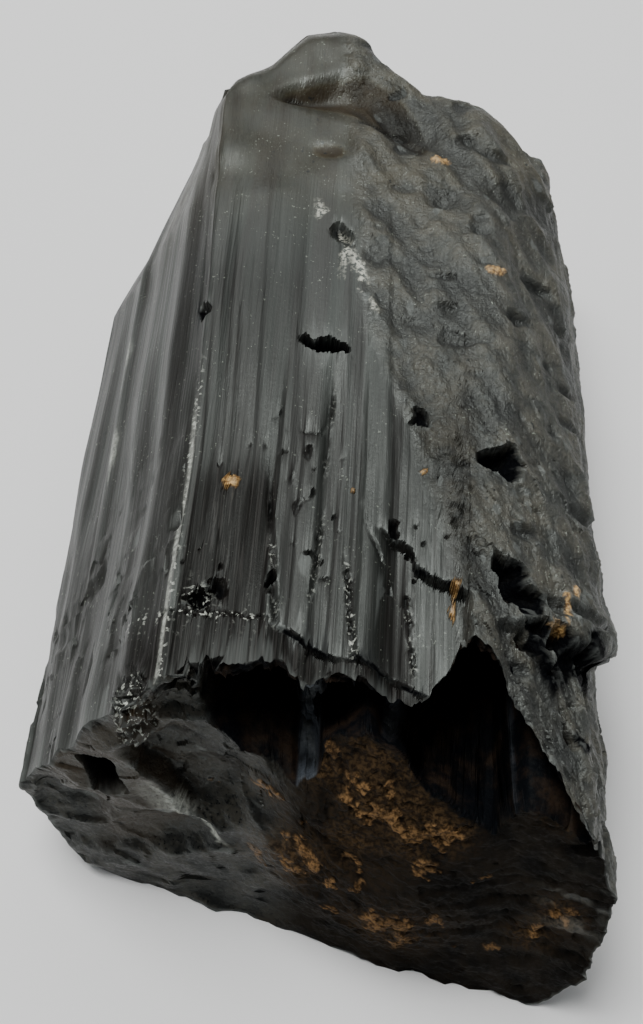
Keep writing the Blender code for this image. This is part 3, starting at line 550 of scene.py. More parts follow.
def far_face(x, z):
    """y of the break at the far end: steep facets under a weathered rim."""
    rim = np.interp(x, *FAR_EDGE)
    ragged_x = x + 1.2 * layered(x / 5, z / 5, 62, 2)
    facets = np.maximum.reduce([y + dx * (ragged_x - 1) + dz * (z - 12) for y, dx, dz in FAR_FACETS])
    facets = np.minimum(facets, FAR_LIMIT)
    face = facets - 1.2 * scallops(x / 6, z / 4.5, 61) + 0.4 * layered(x / 2.5, z / 2.5, 65, 2)
    return face + (rim - face) * (0.45 * smooth(2, 12, z) + 0.55 * smooth(13, 23.5, z))


def far_hollow(x, y):
    """How deep a place lies in the walled hollow of the far end, from 0 to 1."""
    middle_x, middle_y, half_length, turn = FAR_HOLLOW
    along, back = turned(x - middle_x, y - middle_y, turn)
    wall = np.interp(along, *FAR_HOLLOW_BACK)
    wall_start, wall_end = FAR_HOLLOW_WALL
    ends = smooth(half_length, 0.75 * half_length, np.abs(along))
    return ends * smooth(-0.8, 0.6 * wall, back) * smooth(wall + wall_start, wall + wall_end, back)


def far_end_relief(x, y):
    """Depth of the hollow, of the dent before it and of the worn roll of the rim."""
    roll_width, roll_depth = FAR_ROLL
    past = np.clip((y - np.interp(x, *FAR_EDGE)) / roll_width + 1, 0, 1)
    return FAR_HOLLOW_DEPTH * far_hollow(x, y) + bowl(x, y, FAR_DENT, 1.5) + roll_depth * past * past


def pit_depth(x, y):
    """Depth of the torn pits of the top face."""
    torn_x, torn_y = torn(x, y, 72, 0.5, 1.3, 1.3)
    torn_y = torn_y + 0.6 * (laths(x, y * 0, 1.1, 9, 74) - 0.5)
    return np.maximum.reduce([bowl(torn_x, torn_y, shape, 0.75) for shape in TOP_PITS])


def top_relief(x, y):
    """Steps, grooves, crack and pits of the top face."""
    ragged_x, ragged_y = torn(x, y, 71, 0.25, 1.1, 1.4)
    height = np.interp(x, *PANELS) * smooth(PANEL_REACH_Y[1], PANEL_REACH_Y[0], y)
    for near_x, far_x, near_y, far_y, half, depth in TOP_GROOVES:
        middle = near_x + (far_x - near_x) * (y - near_y) / (far_y - near_y)
        patchy = 0.65 + 0.35 * noise(y / 1.3, y * 0 + near_x, 79)
        inside = smooth(far_y + 1.5, far_y - 1.5, y) * smooth(near_y - 0.8, near_y, y) * patchy
        wander = np.abs(x + 0.25 * (ragged_x - x) - middle) / half
        height = height - depth * inside * np.clip(1 - wander, 0, 1)
    ledge_y = np.interp(x, *LEDGE)
    lowered = smooth(ledge_y + 0.1, ledge_y - 0.35, ragged_y) * smooth(3.6, 5.2, x) * smooth(10.4, 9.6, x)
    height -= LEDGE_HEIGHT * lowered
    crack = np.interp(ragged_x, *CRACK) + 0.16 * noise(x / 0.9, y * 0, 77)
    inside = np.clip(1 - np.abs(y - crack) / CRACK_HALF_WIDTH, 0, 1) * smooth(-1, -2, x)
    height -= CRACK_DEPTH * inside
    height = height - np.interp(x, *SLAB_DROP) * smooth(crack + 0.05, crack - 0.3, y)
    return height - pit_depth(x, y) - far_end_relief(x, y)


def flakes(x, y, z, s):
    """Slanting flaky relief of the rough right part of the top face."""
    across, along = turned(s, y, FLAKE_TILT)
    bowls = scallops(across / FLAKE_SIZE[0], along / FLAKE_SIZE[1], 81)
    bumps = layered(across / FLAKE_SIZE[0], along / FLAKE_SIZE[1], 85, 2)
    dents = np.maximum(noise(s / DENT_SIZE[0], y / DENT_SIZE[1], 87) - 0.45, 0)
    rough = smooth(0, ROUGH_FADE, x - np.interp(y, *ROUGH_SIDE)) * (0.2 + 0.8 * smooth(*FLAKE_FADE_Z, z))
    return rough * (FLAKE_HEIGHT * (bowls - 0.45 + 0.6 * bumps) - DENT_DEPTH * dents)


def left_relief(s, y):
    """Rounded ribs along the left flank that swell and fade, and soft dents."""
    swells = [0.75 + 0.5 * noise(y / 14, y * 0 + at, 83) for at, _half, _height in LEFT_RIBS]
    ribs = sum(w * h * np.exp(-(((s - at) / half) ** 2)) for w, (at, half, h) in zip(swells, LEFT_RIBS))
    across, along, depth = FLANK_DENTS
    dents = np.maximum(layered(s / across, y / along, 67, 2) - 0.35, 0) * smooth(-4, -14, y)
    return ribs - 0.25 - depth * dents


def prism_relief(s, x, y, z, nx, nz):
    """How far the surface stands out from the plain prism."""
    on_top = smooth(0.62, 0.8, nz)
    on_left = smooth(-0.3, -0.6, nx) * smooth(8, 12, z)
    on_base = smooth(-0.4, -0.8, nz)
    height = sum(h * (laths(s, y, w, l, 91 + i) - 0.5) for i, (w, l, h) in enumerate(LATHS))
    worn = 1 - 0.6 * on_left - 0.7 * on_top * smooth(*WORN_Y, y)
    height = height * worn + swells(s, y, LONG_SWELLS, 95)
    height = height + on_top * smooth(*WORN_Y, y) * swells(x, y, WORN_LUMPS, 99) + BASE_LIFT * on_base
    height = height + on_top * top_relief(x, y) + on_left * left_relief(s, y)
    height += flakes(x, y, z, s) * (1 - on_base)
    layer_y = np.interp(x + np.clip(20 - z, 0, 12), *LAYER_EDGE) + 0.4 * noise(s / 1.2, y * 0, 97)
    on_layer = smooth(*LAYER_FADE_X, x) * smooth(2, 6, z)
    behind_edge, swell_half, swell = LAYER_SWELL
    broken_off = smooth(layer_y + 0.2, layer_y - 0.4, y)
    swollen = swell * np.exp(-(((y - layer_y - behind_edge) / swell_half) ** 2)) * smooth(15, 19, x)
    height += on_layer * (swollen * (1 - broken_off) - LAYER_THICKNESS * broken_off)
    return height


# ==== end of form functions


def tilted_laths(across, along, width, length, slope, seed):
    """Long flat strips side by side, each tilted sideways: height from their middle."""
    warped = across / width + 0.35 * noise(across / (2.3 * width), along * 0 + 0.5, seed)
    strip = np.floor(warped)
    tilt, level = (strip_height(strip, along / length, seed, i, (0.35, 0.65)) for i in (7, 9))
    return slope * width * ((2 * tilt - 1) * (warped - strip - 0.5) + 0.7 * (level - 0.5))


def facets(a, b, seed):
    """Small flat facets at random slopes that meet in steps, from about -1 to 1."""
    nearest = np.full(np.broadcast(a, b).shape, 9.0)
    height = np.zeros_like(nearest)
    for ca, cb, seeds, away_a, away_b in cells_near(a, b, seed, 0.1):
        away = away_a**2 + away_b**2
        slope_a, slope_b = (2 * hashed(ca, cb, seeds + i) - 1 for i in (3, 5))
        level = hashed(ca, cb, seeds + 11) - 0.5
        height = np.where(away < nearest, level + slope_a * away_a + slope_b * away_b, height)
        nearest = np.minimum(nearest, away)
    return height


def crumbly(x, y, z):
    """1 in the shattered corner at the near left, fading out round it."""
    away = np.sqrt(sum(((c - m) / h) ** 2 for c, m, h in zip((x, y, z), CRUMBLED_AT, CRUMBLED_REACH)))
    return smooth(1.3, 0.7, away)


def fine_prism_relief(s, x, y, z, nx, nz):
    """Relief too fine for the solid: narrow laths, hackly grain and crumbs."""
    on_base = smooth(-0.4, -0.8, nz)
    on_top = smooth(0.62, 0.8, nz)
    on_left = smooth(-0.3, -0.6, nx)
    rough = smooth(0, ROUGH_FADE, x - np.interp(y, *ROUGH_SIDE)) * (1 - on_base)
    worn = on_top * smooth(*WORN_Y, y)
    height = sum(tilted_laths(s, y, w, l, k, 201 + 3 * i) for i, (w, l, k) in enumerate(FINE_LATHS))
    height = height * (1 - 0.55 * on_left) * (1 - 0.8 * worn)
    across, along = turned(s, y, FLAKE_TILT)
    grain = 0.13 * facets(across / 0.9, along / 2.2, 207) + 0.07 * facets(across / 0.4, along / 0.8, 209)
    blurred = 1 - 0.6 * smooth(-12, 4, y)
    height = height * (1 - 0.6 * rough) + grain * rough * blurred
    chips = facets(s / 1.1, y / 1.9, 283) * smooth(0.1, 0.6, noise(s / 2.6, y / 4.4, 285))
    height += 0.16 * chips * on_left * smooth(-2, -16, y)
    shale = 0.3 * facets((x + z) / 1.6, (z - y) / 1.9, 287) * smooth(13, 15, x) * smooth(-20, -23, y)
    height += shale * (1 - on_base)
    scarce = smooth(0, 0.5, noise(x / 3.1, y / 3.7, 281))
    pock = np.maximum(noise(s / 0.5, y / 0.6, 211) - 0.72, 0) * on_top * smooth(4, -12, y) * scarce
    groove = groove_nearness(x, y) * on_top
    crumbs = 0.16 * facets(x / 0.4, y / 0.6, 213) * groove
    shattered = 0.9 * facets(y / 1, z / 1, 215) + 0.4 * facets(y / 0.45, z / 0.45, 217)
    height = height - 1.2 * pock + 0.14 * gold_share(x, y) * on_top + crumbs
    return height + 0.6 * shattered * crumbly(x, y, z)


def step_face_shade(x, y, z):
    """1 on the faces of the steps, painted black as shade: crack, ledge and end of the outer layer."""
    crack = np.interp(x, *CRACK)
    drop = np.interp(x, *SLAB_DROP)
    thickness = drop * (0.16 + 0.34 * noise(x / 0.9, y * 0, 289))
    at_crack = smooth(0.1, 0, np.abs(y - crack + 0.08) - thickness) * smooth(0.08, 0.3, drop)
    ledge_y = np.interp(x, *LEDGE)
    ledge_half = 0.24 * noise(x / 0.8, y * 0, 291)
    at_ledge = smooth(0.16, 0.02, np.abs(y - ledge_y) - ledge_half) * smooth(4.2, 5.2, x) * smooth(10, 9.2, x)
    layer_y = np.interp(x + np.clip(20 - z, 0, 12), *LAYER_EDGE)
    at_layer = smooth(1.5, 0.6, np.abs(y - layer_y + 0.6)) * smooth(13.5, 15, x)
    return np.maximum.reduce([at_crack * smooth(8.4, 7.6, x), at_ledge, at_layer])


def pale_chain(x, y):
    """1 along the broken chain of pale crumbs on the far half of the top face."""
    chain_x = np.interp(y, *PALE_CHAIN)
    lengthways = smooth(2.6, 4.2, y) * smooth(16, 14.6, y)
    return smooth(0.65, 0.2, np.abs(x - chain_x)) * lengthways


def groove_nearness(x, y):
    """1 along the long grooves and the crack of the top face, fading out beside them."""
    nearness = np.zeros(np.broadcast(x, y).shape)
    for share, (near_x, far_x, near_y, far_y, _half, _depth) in zip(GROOVE_CRUMBS, TOP_GROOVES):
        middle = near_x + (far_x - near_x) * (y - near_y) / (far_y - near_y)
        patchy = smooth(-1.5 * share, 0.4, noise(y / 2.2, y * 0 + near_x, 231))
        here = smooth(0.32, 0.08, np.abs(x - middle)) * smooth(far_y + 1, far_y - 1, y)
        nearness = np.maximum(nearness, share * here * patchy * smooth(near_y - 1, near_y, y))
    crack = np.interp(x, *CRACK)
    left_end = smooth(0.3, 0.05, np.abs(y - crack)) * smooth(-2.4, -3, x)
    at_pits = 0.7 * smooth(1.4, 0.4, np.hypot(x - CRUMBLY_PITS[0], y - CRUMBLY_PITS[1]))
    return np.maximum.reduce([nearness, left_end, at_pits])


def fine_near_relief(x, z):
    """Conchoidal at the left, hackly in the recess, grainy on the mound."""
    recess = recess_share(x, z)
    left = smooth(1, -4, x) * (1 - recess)
    hackly = 0.3 * facets(x / 1.3, z / 1.3, 221) + 0.15 * facets(x / 0.55, z / 0.7, 223)
    conchoidal = 0.34 * (scallops(x / 3.4, z / 2.1, 225) - 0.4) + 0.16 * facets(x / 2.8, z / 1.8, 233)
    grain = 0.09 * layered(x / 0.45, z / 0.4, 227, 2) * (1 - 0.9 * left)
    crust = -0.12 * clump_share(x, z) - 0.12 * stain_share(x, z) * layered(x / 0.5, z / 0.45, 229, 2)
    shattered = 0.9 * facets(x / 0.9, z / 0.9, 219) * crumbly(x, CRUMBLED_AT[1], z)
    above_strands = strand_height(x, z)
    chips = 0.45 * facets(x / 0.8, z / 0.7, 235) * smooth(0.2, 1.2, above_strands) * left
    strands = 0.12 * (laths(above_strands, x, 0.3, 3, 237) - 0.5) * smooth(1.2, 0.5, np.abs(above_strands))
    blended = hackly * (recess + 0.35 * (1 - recess) * (1 - left)) - conchoidal * left
    return blended - grain + crust + shattered + chips + strands


def strand_height(x, z):
    """How far a place lies above the strands: far below zero past their ends."""
    past_ends = np.maximum(x - STRANDS[0][-1], 0) + np.maximum(STRANDS[0][0] - x, 0)
    return z - np.interp(x, *STRANDS) - 20 * past_ends


def inside_sliver(x, z):
    """1 inside the bright sliver."""
    inner = np.full(np.broadcast(x, z).shape, 9.0)
    for i, (corner_x, corner_z) in enumerate(SLIVER):
        next_x, next_z = SLIVER[(i + 1) % len(SLIVER)]
        length = math.hypot(next_x - corner_x, next_z - corner_z)
        side = ((x - corner_x) * (next_z - corner_z) - (z - corner_z) * (next_x - corner_x)) / length
        inner = np.minimum(inner, side)
    streak_x, streak_z = SLIVER_STREAKS
    across, along = streak_x * z - streak_z * x, streak_x * x + streak_z * z
    streaks = 0.25 + 0.75 * smooth(-0.4, 0.4, noise(across / 0.4, along / 5, 295))
    return smooth(-0.1, 0.15, inner) * streaks * (0.3 + 0.7 * smooth(-12, -8.5, x))


def recess_share(x, z):
    """1 in the recess under the roof and in the hole at the left."""
    floor = np.interp(ragged_place(x, z)[0], *RECESS_FLOOR)
    recess = smooth(floor - 0.16, floor - 0.04, z) * smooth(*RECESS_START, x)
    hole = straight_hole(x, z, NEAR_HOLE) / NEAR_HOLE[4]
    return np.maximum(recess, hole)


def soft_spots(x, z, spots):
    """Soft round spots added up: x, z and reach of each."""
    return sum(np.exp(-((x - at_x) ** 2 + (z - at_z) ** 2) / reach**2) for at_x, at_z, reach in spots)


def stain_share(x, z):
    """How brown the near break is: 1 in the middle of each stain."""
    return np.minimum(soft_spots(x, z, STAINS), 1) * (1 - 0.9 * recess_share(x, z))


def clump_share(x, z):
    """1 on the thick clumps of iron crust, with ragged borders."""
    share = soft_spots(*torn(x, z, 241, 0.55, 0.7, 0.6, 3), CLUMPS)
    ragged = share * (0.8 + 0.45 * layered(x / 0.42, z / 0.36, 249, 2)) + 0.12 * stain_share(x, z)
    return smooth(0.45, 0.58, ragged)


def pillar_share(x, z):
    """1 on the broken column ends of the recess that catch the light."""
    share = np.zeros(np.broadcast(x, z).shape)
    for left_x, right_x, low_z, high_z in PILLARS:
        across = smooth(left_x - 0.1, left_x + 0.2, x) * smooth(right_x + 0.1, right_x - 0.2, x)
        share = np.maximum(share, across * smooth(low_z, low_z + 0.8, z) * smooth(high_z + 0.6, high_z, z))
    return share * recess_share(x, z)


def gold_share(x, y):
    """1 on the golden and orange grains of the prism faces."""
    torn_x = x + 0.12 * layered(x / 0.3, y / 0.3, 261, 2)
    torn_y = y + 0.15 * layered(x / 0.3, y / 0.3, 265, 2)
    share = np.zeros(np.broadcast(x, y).shape)
    for grain_x, grain_y, half_x, half_y in GRAINS:
        away = ((torn_x - grain_x) / half_x) ** 2 + ((torn_y - grain_y) / half_y) ** 2
        share = np.maximum(share, smooth(1.2, 0.8, away))
    return share


def outline_columns():
    """Distances round the section, closest where the relief is finest."""
    runs = []
    for start, end, step in zip(OUTLINE, OUTLINE[1:], SIDE_STEPS):
        runs.append(np.linspace(start, end, round((end - start) / step), endpoint=False))
    return np.concatenate(runs)


def prism_points(columns):
    """The grid of points over the prism faces, closer together at the near end."""
    x, z = section(columns, np.full_like(columns, -28))
    near = near_face(x, z) + fine_near_relief(x, z)
    x, z = section(columns, np.full_like(columns, 32))
    far = far_face(x, z)
    t = np.linspace(0, 1, ROWS)[:, None]
    y = near + (far - near) * (ROW_CROWDING * t + (1 - ROW_CROWDING) * t * t)
    s = np.broadcast_to(columns, y.shape)
    x, z = section(s, y)
    nx, nz = outward(s, y)
    height = prism_relief(s, x, y, z, nx, nz) + fine_prism_relief(s, x, y, z, nx, nz)
    return np.stack([x + nx * height, y, z + nz * height], axis=-1)


def fine_near_face(x, z):
    return near_face(x, z) + fine_near_relief(x, z)


def cap_points(rim, face, rings):
    """Rings of points from the rim to the middle of an end face."""
    centre = np.array(CAP_CENTRE)
    offset = np.clip(rim[:, 1] - face(rim[:, 0], rim[:, 2]), -RIM_STEP, RIM_STEP)
    points = []
    for ring in range(1, rings):
        keep = 1 - ring / rings
        x = centre[0] + (rim[:, 0] - centre[0]) * keep
        z = centre[1] + (rim[:, 2] - centre[1]) * keep
        points.append(np.stack([x, face(x, z) + offset * keep**8, z], axis=-1))
    middle_y = face(centre[0:1], centre[1:2])[0]
    return np.array(points), np.array([centre[0], middle_y, centre[1]])


def ring_faces(first, second, count):
    i = np.arange(count)
    j = (i + 1) % count
    return np.stack([first + i, first + j, second + j, second + i], axis=-1)


def closed_grid(rings, near_middle, far_middle, count):
    """Points and faces of the closed surface through all rings and the two middles."""
    points = np.concatenate([rings.reshape(-1, 3), [near_middle, far_middle]])
    points[:, 2] = np.maximum(points[:, 2], 0)
    points[:, :2] -= MIDDLE
    quads = [ring_faces(r * count, (r + 1) * count, count) for r in range(len(rings) - 1)]
    quads = np.concatenate(quads)
    triangles = np.concatenate([quads[:, [0, 1, 2]], quads[:, [0, 2, 3]]])
    i = np.arange(count)
    last = (len(rings) - 1) * count
    near_fan = np.stack([np.full(count, len(points) - 2), (i + 1) % count, i], axis=-1)
    far_fan = np.stack([np.full(count, len(points) - 1), last + i, last + (i + 1) % count], axis=-1)
    return points, np.concatenate([triangles, near_fan, far_fan])


def mesh_from(points, triangles, name):
    mesh = bpy.data.meshes.new(name)
    mesh.vertices.add(len(points))
    mesh.vertices.foreach_set("co", (points * MM).ravel())
    mesh.loops.add(triangles.size)
    mesh.loops.foreach_set("vertex_index", triangles.ravel().astype(np.int32))
    mesh.polygons.add(len(triangles))
    mesh.polygons.foreach_set("loop_start", np.arange(0, triangles.size, 3, dtype=np.int32))
    mesh.update(calc_edges=True)
    mesh.validate()
    return mesh


def placed(name, data):
    """A new object of this name in the scene."""
    thing = bpy.data.objects.new(name, data)
    bpy.context.scene.collection.objects.link(thing)
    return thing


def thinned(mesh, budget):
    """The mesh with its flat stretches thinned to the triangle budget."""
    carrier = placed("carrier", mesh)
    modifier = carrier.modifiers.new("thin_out", "DECIMATE")
    modifier.ratio = min(1, budget / len(mesh.polygons))
    bpy.context.view_layer.update()
    evaluated = carrier.evaluated_get(bpy.context.evaluated_depsgraph_get())
    result = bpy.data.meshes.new_from_object(evaluated)
    bpy.data.objects.remove(carrier, do_unlink=True)
    return result


def dark_panel_share(x, y):
    """1 on the dark panel and the dropped slab, and about half around them. The panel is painted darker as
    shade, for the light its tilt turns away.
    """
    panel = smooth(-9.2, -8.2, x) * smooth(-2.6, -3.2, x) * smooth(-6.5, -13, y)
    slab = smooth(0, -0.3, y - np.interp(x, *CRACK)) * smooth(9, 8, x)
    middle = 0.5 * smooth(2, -10, y) * smooth(11.5, 9.5, x)
    left_panel = 0.45 * smooth(14, 4, y) * smooth(-1.6, -3, x)
    return np.maximum.reduce([panel, slab, middle, left_panel])


def dull_flank_share(s, y):
    """How dull and dark the left flank is: most between its ribs, least along the bright band. The darker
    colour between the ribs is painted shade.
    """
    on_flank = smooth(OUTLINE[1] + 0.2, OUTLINE[1] - 0.8, s)
    between_ribs = smooth(0.15, -0.25, left_relief(s, y))
    band = np.exp(-((s - np.interp(y, *BRIGHT_BAND)) ** 2))
    return on_flank * (0.25 + 0.45 * smooth(4, -16, y) + 0.3 * between_ribs) * (1 - 0.7 * band)


def earthy_share(x, y):
    """How earthy the far end is: the hollow, the dent, and a little of the worn part. Deep in the hollow it
    also paints shade.
    """
    in_hollow = smooth(0, 0.6, far_hollow(x, y))
    in_dent = 0.9 * smooth(0, 0.8, bowl(x, y, FAR_DENT, 1.5) / FAR_DENT[4])
    return np.maximum.reduce([in_hollow, 0.3 * smooth(*WORN_Y, y), in_dent])


def pale_on_prism(s, y):
    """The pale line along the ridge and the pale spots on the left flank."""
    ridge_line = 0.5 * smooth(0.4, 0.05, np.abs(s - OUTLINE[1])) * smooth(-3, -10, y)
    spots = sum(np.exp(-(((s - at_s) / 0.5) ** 2) - ((y - at_y) / 1.1) ** 2) for at_s, at_y in FLANK_SPOTS)
    return np.maximum(ridge_line, spots)


def glossy_spot(x, z):
    """1 on the streaks that catch the light at the lower right of the near break."""
    at_x, at_z, half_x, half_z = GLOSSY_SPOT
    spot = np.exp(-(((x - at_x) / half_x) ** 2) - ((z - at_z) / half_z) ** 2)
    return spot * smooth(0, 0.4, noise(x / 2, z / 0.5, 293))


def surface_masks(rings, columns, near_count):
    """The painted masks by name, for every point of the rings."""
    x, y, z = rings[..., 0], rings[..., 1], rings[..., 2]
    s = np.broadcast_to(columns, x.shape)
    ring = np.arange(len(rings))[:, None]
    near = np.broadcast_to(ring < near_count, x.shape).astype(float)
    prism = 1 - near
    upper = smooth(14, 20, z) * prism
    top = smooth(22, 24, z) * prism
    recess = near * recess_share(x, z)
    glossy = glossy_spot(x, z)
    ridge = 0.7 * smooth(0.35, 0.05, np.abs(x - RIDGE_X)) * smooth(0, -6, y)
    return {
        "near": near,
        "recess": recess,
        "stain": near * stain_share(x, z),
        "left": np.maximum(smooth(1, -4, x), glossy) * near * (1 - recess),
        "rough": smooth(0, ROUGH_FADE, x - np.interp(y, *ROUGH_SIDE)) * prism,
        "far_hollow": earthy_share(x, y) * upper,
        "crumbs": np.maximum(np.maximum(groove_nearness(x, y), ridge) * top, crumbly(x, y, z)),
        "flank": dull_flank_share(s, y) * prism,
        # Painted shade: the pits and the faces of the steps.
        "cavity": np.maximum(smooth(0.15, 0.6, pit_depth(x, y)), step_face_shade(x, y, z)) * upper,
        "dark_panel": dark_panel_share(x, y) * top,
        "chain": pale_chain(x, y) * upper,
        # Painted shade in the low places of the flakes.
        "low": smooth(-0.05, -0.35, flakes(x, y, z, s)) * prism,
        "ore": near * clump_share(x, z),
        # The sliver is pale, partly its own colour and partly a painted highlight; the glossy streaks get a
        # little pale as a painted highlight.
        "pale": near * np.maximum(inside_sliver(x, z), 0.15 * glossy) + prism * pale_on_prism(s, y),
        "pillar": near * pillar_share(x, z),
        "gold": gold_share(x, y) * smooth(20, 22, z) * prism,
    }


def build_crystal():
    columns = outline_columns()
    count = len(columns)
    prism = prism_points(columns)
    near_rings, near_middle = cap_points(prism[0], fine_near_face, CAP_RINGS[0])
    far_rings, far_middle = cap_points(prism[-1], far_face, CAP_RINGS[1])
    rings = np.concatenate([near_rings[::-1], prism, far_rings])
    masks = surface_masks(rings, columns, len(near_rings))
    rings[:len(near_rings), :, 2] -= floor_sink(*rings[:len(near_rings), :, ::2].transpose(2, 0, 1))
    points, triangles = closed_grid(rings, near_middle, far_middle, count)
    mesh = thinned(mesh_from(points, triangles, "crystal_surface"), FACE_BUDGET)
    paint_masks(mesh, points, masks)
    mesh.shade_smooth()
    mesh.set_sharp_from_angle(angle=math.radians(SHARP_ANGLE))
    return placed("crystal_surface", mesh)


def paint_masks(mesh, points, masks):
    """Gives each point of the thinned mesh the masks of the nearest full one."""
    tree = KDTree(len(points))
    for i, co in enumerate((points * MM).tolist()):
        tree.insert(co, i)
    tree.balance()
    nearest = [tree.find(v.co)[1] for v in mesh.vertices]
    for layer_name, names in MASKS.items():
        channels = [np.append(masks[name].ravel(), [float(name == "near"), 0]) for name in names]
        layer = mesh.color_attributes.new(layer_name, "FLOAT_COLOR", "POINT")
        layer.data.foreach_set("color", np.stack(channels, axis=-1)[nearest].astype(np.float32).ravel())


class Nodes:
    """Short calls for building one material's node tree."""

    def __init__(self, material):
        self.tree = material.node_tree
        self.shader = self.tree.nodes["Principled BSDF"]

    def plug(self, source, target):
        """Links a socket, or sets a number, a vector or an opaque colour."""
        if isinstance(source, tuple):
            target.default_value = (*source, 1) if target.type == "RGBA" else source
        elif isinstance(source, (int, float)):
            target.default_value = source
        else:
            self.tree.links.new(source, target)

    def put(self, kind, inputs, output=0, **settings):
        """A new node with its settings and inputs: returns one of its outputs."""
        node = self.tree.nodes.new(kind)
        for name, value in settings.items():
            setattr(node, name, value)
        for name, source in inputs.items():
            self.plug(source, node.inputs[name])
        return node.outputs[output]

    def math(self, operation, a, b, clamp=False):
        return self.put("ShaderNodeMath", {0: a, 1: b}, operation=operation, use_clamp=clamp)

    def times(self, a, b):
        return self.math("MULTIPLY", a, b)

    def most(self, first, *others):
        for value in others:
            first = self.math("MAXIMUM", first, value)
        return first

    def ramp(self, value, low, high, to_low=0, to_high=1):
        inputs = {"Value": value, "From Min": low, "From Max": high, "To Min": to_low, "To Max": to_high}
        return self.put("ShaderNodeMapRange", inputs, interpolation_type="SMOOTHSTEP")

    def blend(self, share, a, b):
        return self.put("ShaderNodeMix", {0: share, 6: a, 7: b}, 2, data_type="RGBA")

    def number(self, share, a, b):
        return self.put("ShaderNodeMix", {0: share, 2: a, 3: b}, data_type="FLOAT")

    def pair(self, name, texture, low, high):
        """The named pair of colours, mixed by a texture between two of its levels."""
        return self.blend(self.ramp(texture, low, high), *COLOURS[name])

    def noise(self, stretch, detail, rough):
        """Noise over object coordinates stretched by a factor per metre along each axis."""
        place = self.put("ShaderNodeTexCoord", {}, "Object")
        place = self.put("ShaderNodeMapping", {"Vector": place, "Scale": stretch})
        inputs = {"Vector": place, "Scale": 1, "Detail": detail, "Roughness": rough}
        return self.put("ShaderNodeTexNoise", inputs)

    def bump(self, height, distance, strength, before=None):
        inputs = {"Height": height, "Distance": distance, "Strength": strength}
        return self.put("ShaderNodeBump", {**inputs, "Normal": before} if before else inputs)


def painted_masks(n):
    """The sockets of the painted masks, by name."""
    sockets = {}
    for layer, names in MASKS.items():
        colour = n.put("ShaderNodeVertexColor", {}, "Color", layer_name=layer)
        split = n.put("ShaderNodeSeparateColor", {0: colour}).node
        sockets.update(zip(names, (*split.outputs[:3], colour.node.outputs["Alpha"])))
    return SimpleNamespace(**sockets)


def face_colour(n, m, t):
    """Prism faces: black with greenish bands, earthy where rough, speckled with painted glints, and with
    painted shade deep in the far hollow, on the dark panel, between the flank's ribs, in low flakes, in pits
    and under steps.
    """
    colour = n.pair("face", t.bands, 0.38, 0.62)
    earthy = n.pair("earthy", t.patches, 0.35, 0.65)
    colour = n.blend(n.times(m.rough, n.ramp(t.grain, 0.2, 0.7, 0.5, 1)), colour, earthy)
    colour = n.blend(n.times(m.far_hollow, n.ramp(t.patches, 0.35, 0.6, 0.6, 1)), colour, FAR_EARTH)
    # Painted shade deep in the far hollow.
    colour = n.blend(n.ramp(m.far_hollow, 0.5, 0.95, 0, 0.8), colour, FAR_SHADE)
    # The left flank is painted darker, most between its ribs, as painted shade.
    colour = n.blend(n.times(m.flank, n.ramp(t.patches, 0.35, 0.65, 0.5, 1)), colour, FLANK_BLACK)
    # Painted shade in the low places of the flakes.
    colour = n.blend(n.times(m.low, 0.8), colour, FLAKE_LOW_SHADE)
    # The dark panel and the slab are painted darker; on the panel this is painted shade.
    colour = n.blend(n.times(m.dark_panel, 0.85), colour, n.pair("panel", t.hairlines, 0.5, 0.66))
    dense = n.math("SUBTRACT", n.ramp(t.patches, 0.45, 0.6), n.times(m.dark_panel, 0.7), True)
    # Light specks: painted glints.
    colour = n.blend(n.times(n.ramp(t.light_specks, 0.68, 0.74), dense), colour, GLINT_SPECK)
    colour = n.blend(n.times(n.ramp(t.dark_specks, 0.34, 0.29), dense), colour, DARK_SPECK)
    # Painted shade in the pits and on the step faces.
    colour = n.blend(m.cavity, colour, PIT_AND_STEP_SHADE)
    chain = n.times(m.chain, n.ramp(t.patches, 0.46, 0.54))
    colour = n.blend(chain, colour, n.pair("chain", t.grain, 0.42, 0.56))
    return n.blend(m.gold, colour, n.pair("gold", t.grain, 0.35, 0.65))


def break_colour(n, m, t):
    """The near break: painted black as shade in the recess, brown where iron stains it, blackish grey at the
    left, with a painted highlight on the column ends.
    """
    colour = n.pair("matrix", t.patches, 0.35, 0.65)
    shard = n.pair("shard", t.patches, 0.4, 0.58)
    shard = n.blend(n.ramp(t.grain, 0.5, 0.36), shard, DEEP_BLACK)
    shard = n.blend(n.ramp(t.broad, 0.52, 0.66, 0, 0.6), shard, SHARD_BROWN)
    colour = n.blend(m.left, colour, shard)
    rusty = n.times(m.stain, n.ramp(t.patches, 0.25, 0.6))
    colour = n.blend(rusty, colour, n.pair("rust", t.grain, 0.4, 0.62))
    crusted = n.times(m.ore, n.ramp(t.patches, 0.3, 0.55, 0.35, 1))
    colour = n.blend(crusted, colour, n.pair("ochre", t.grain, 0.38, 0.62))
    # Painted shade: the recess and the hole are near black, with lighter patches for the little light that
    # reaches in.
    colour = n.blend(m.recess, colour, n.pair("cave_shade", t.patches, 0.42, 0.7))
    # Painted highlight: lighter blue-grey on the column ends.
    return n.blend(m.pillar, colour, n.pair("pillar", t.patches, 0.4, 0.55))


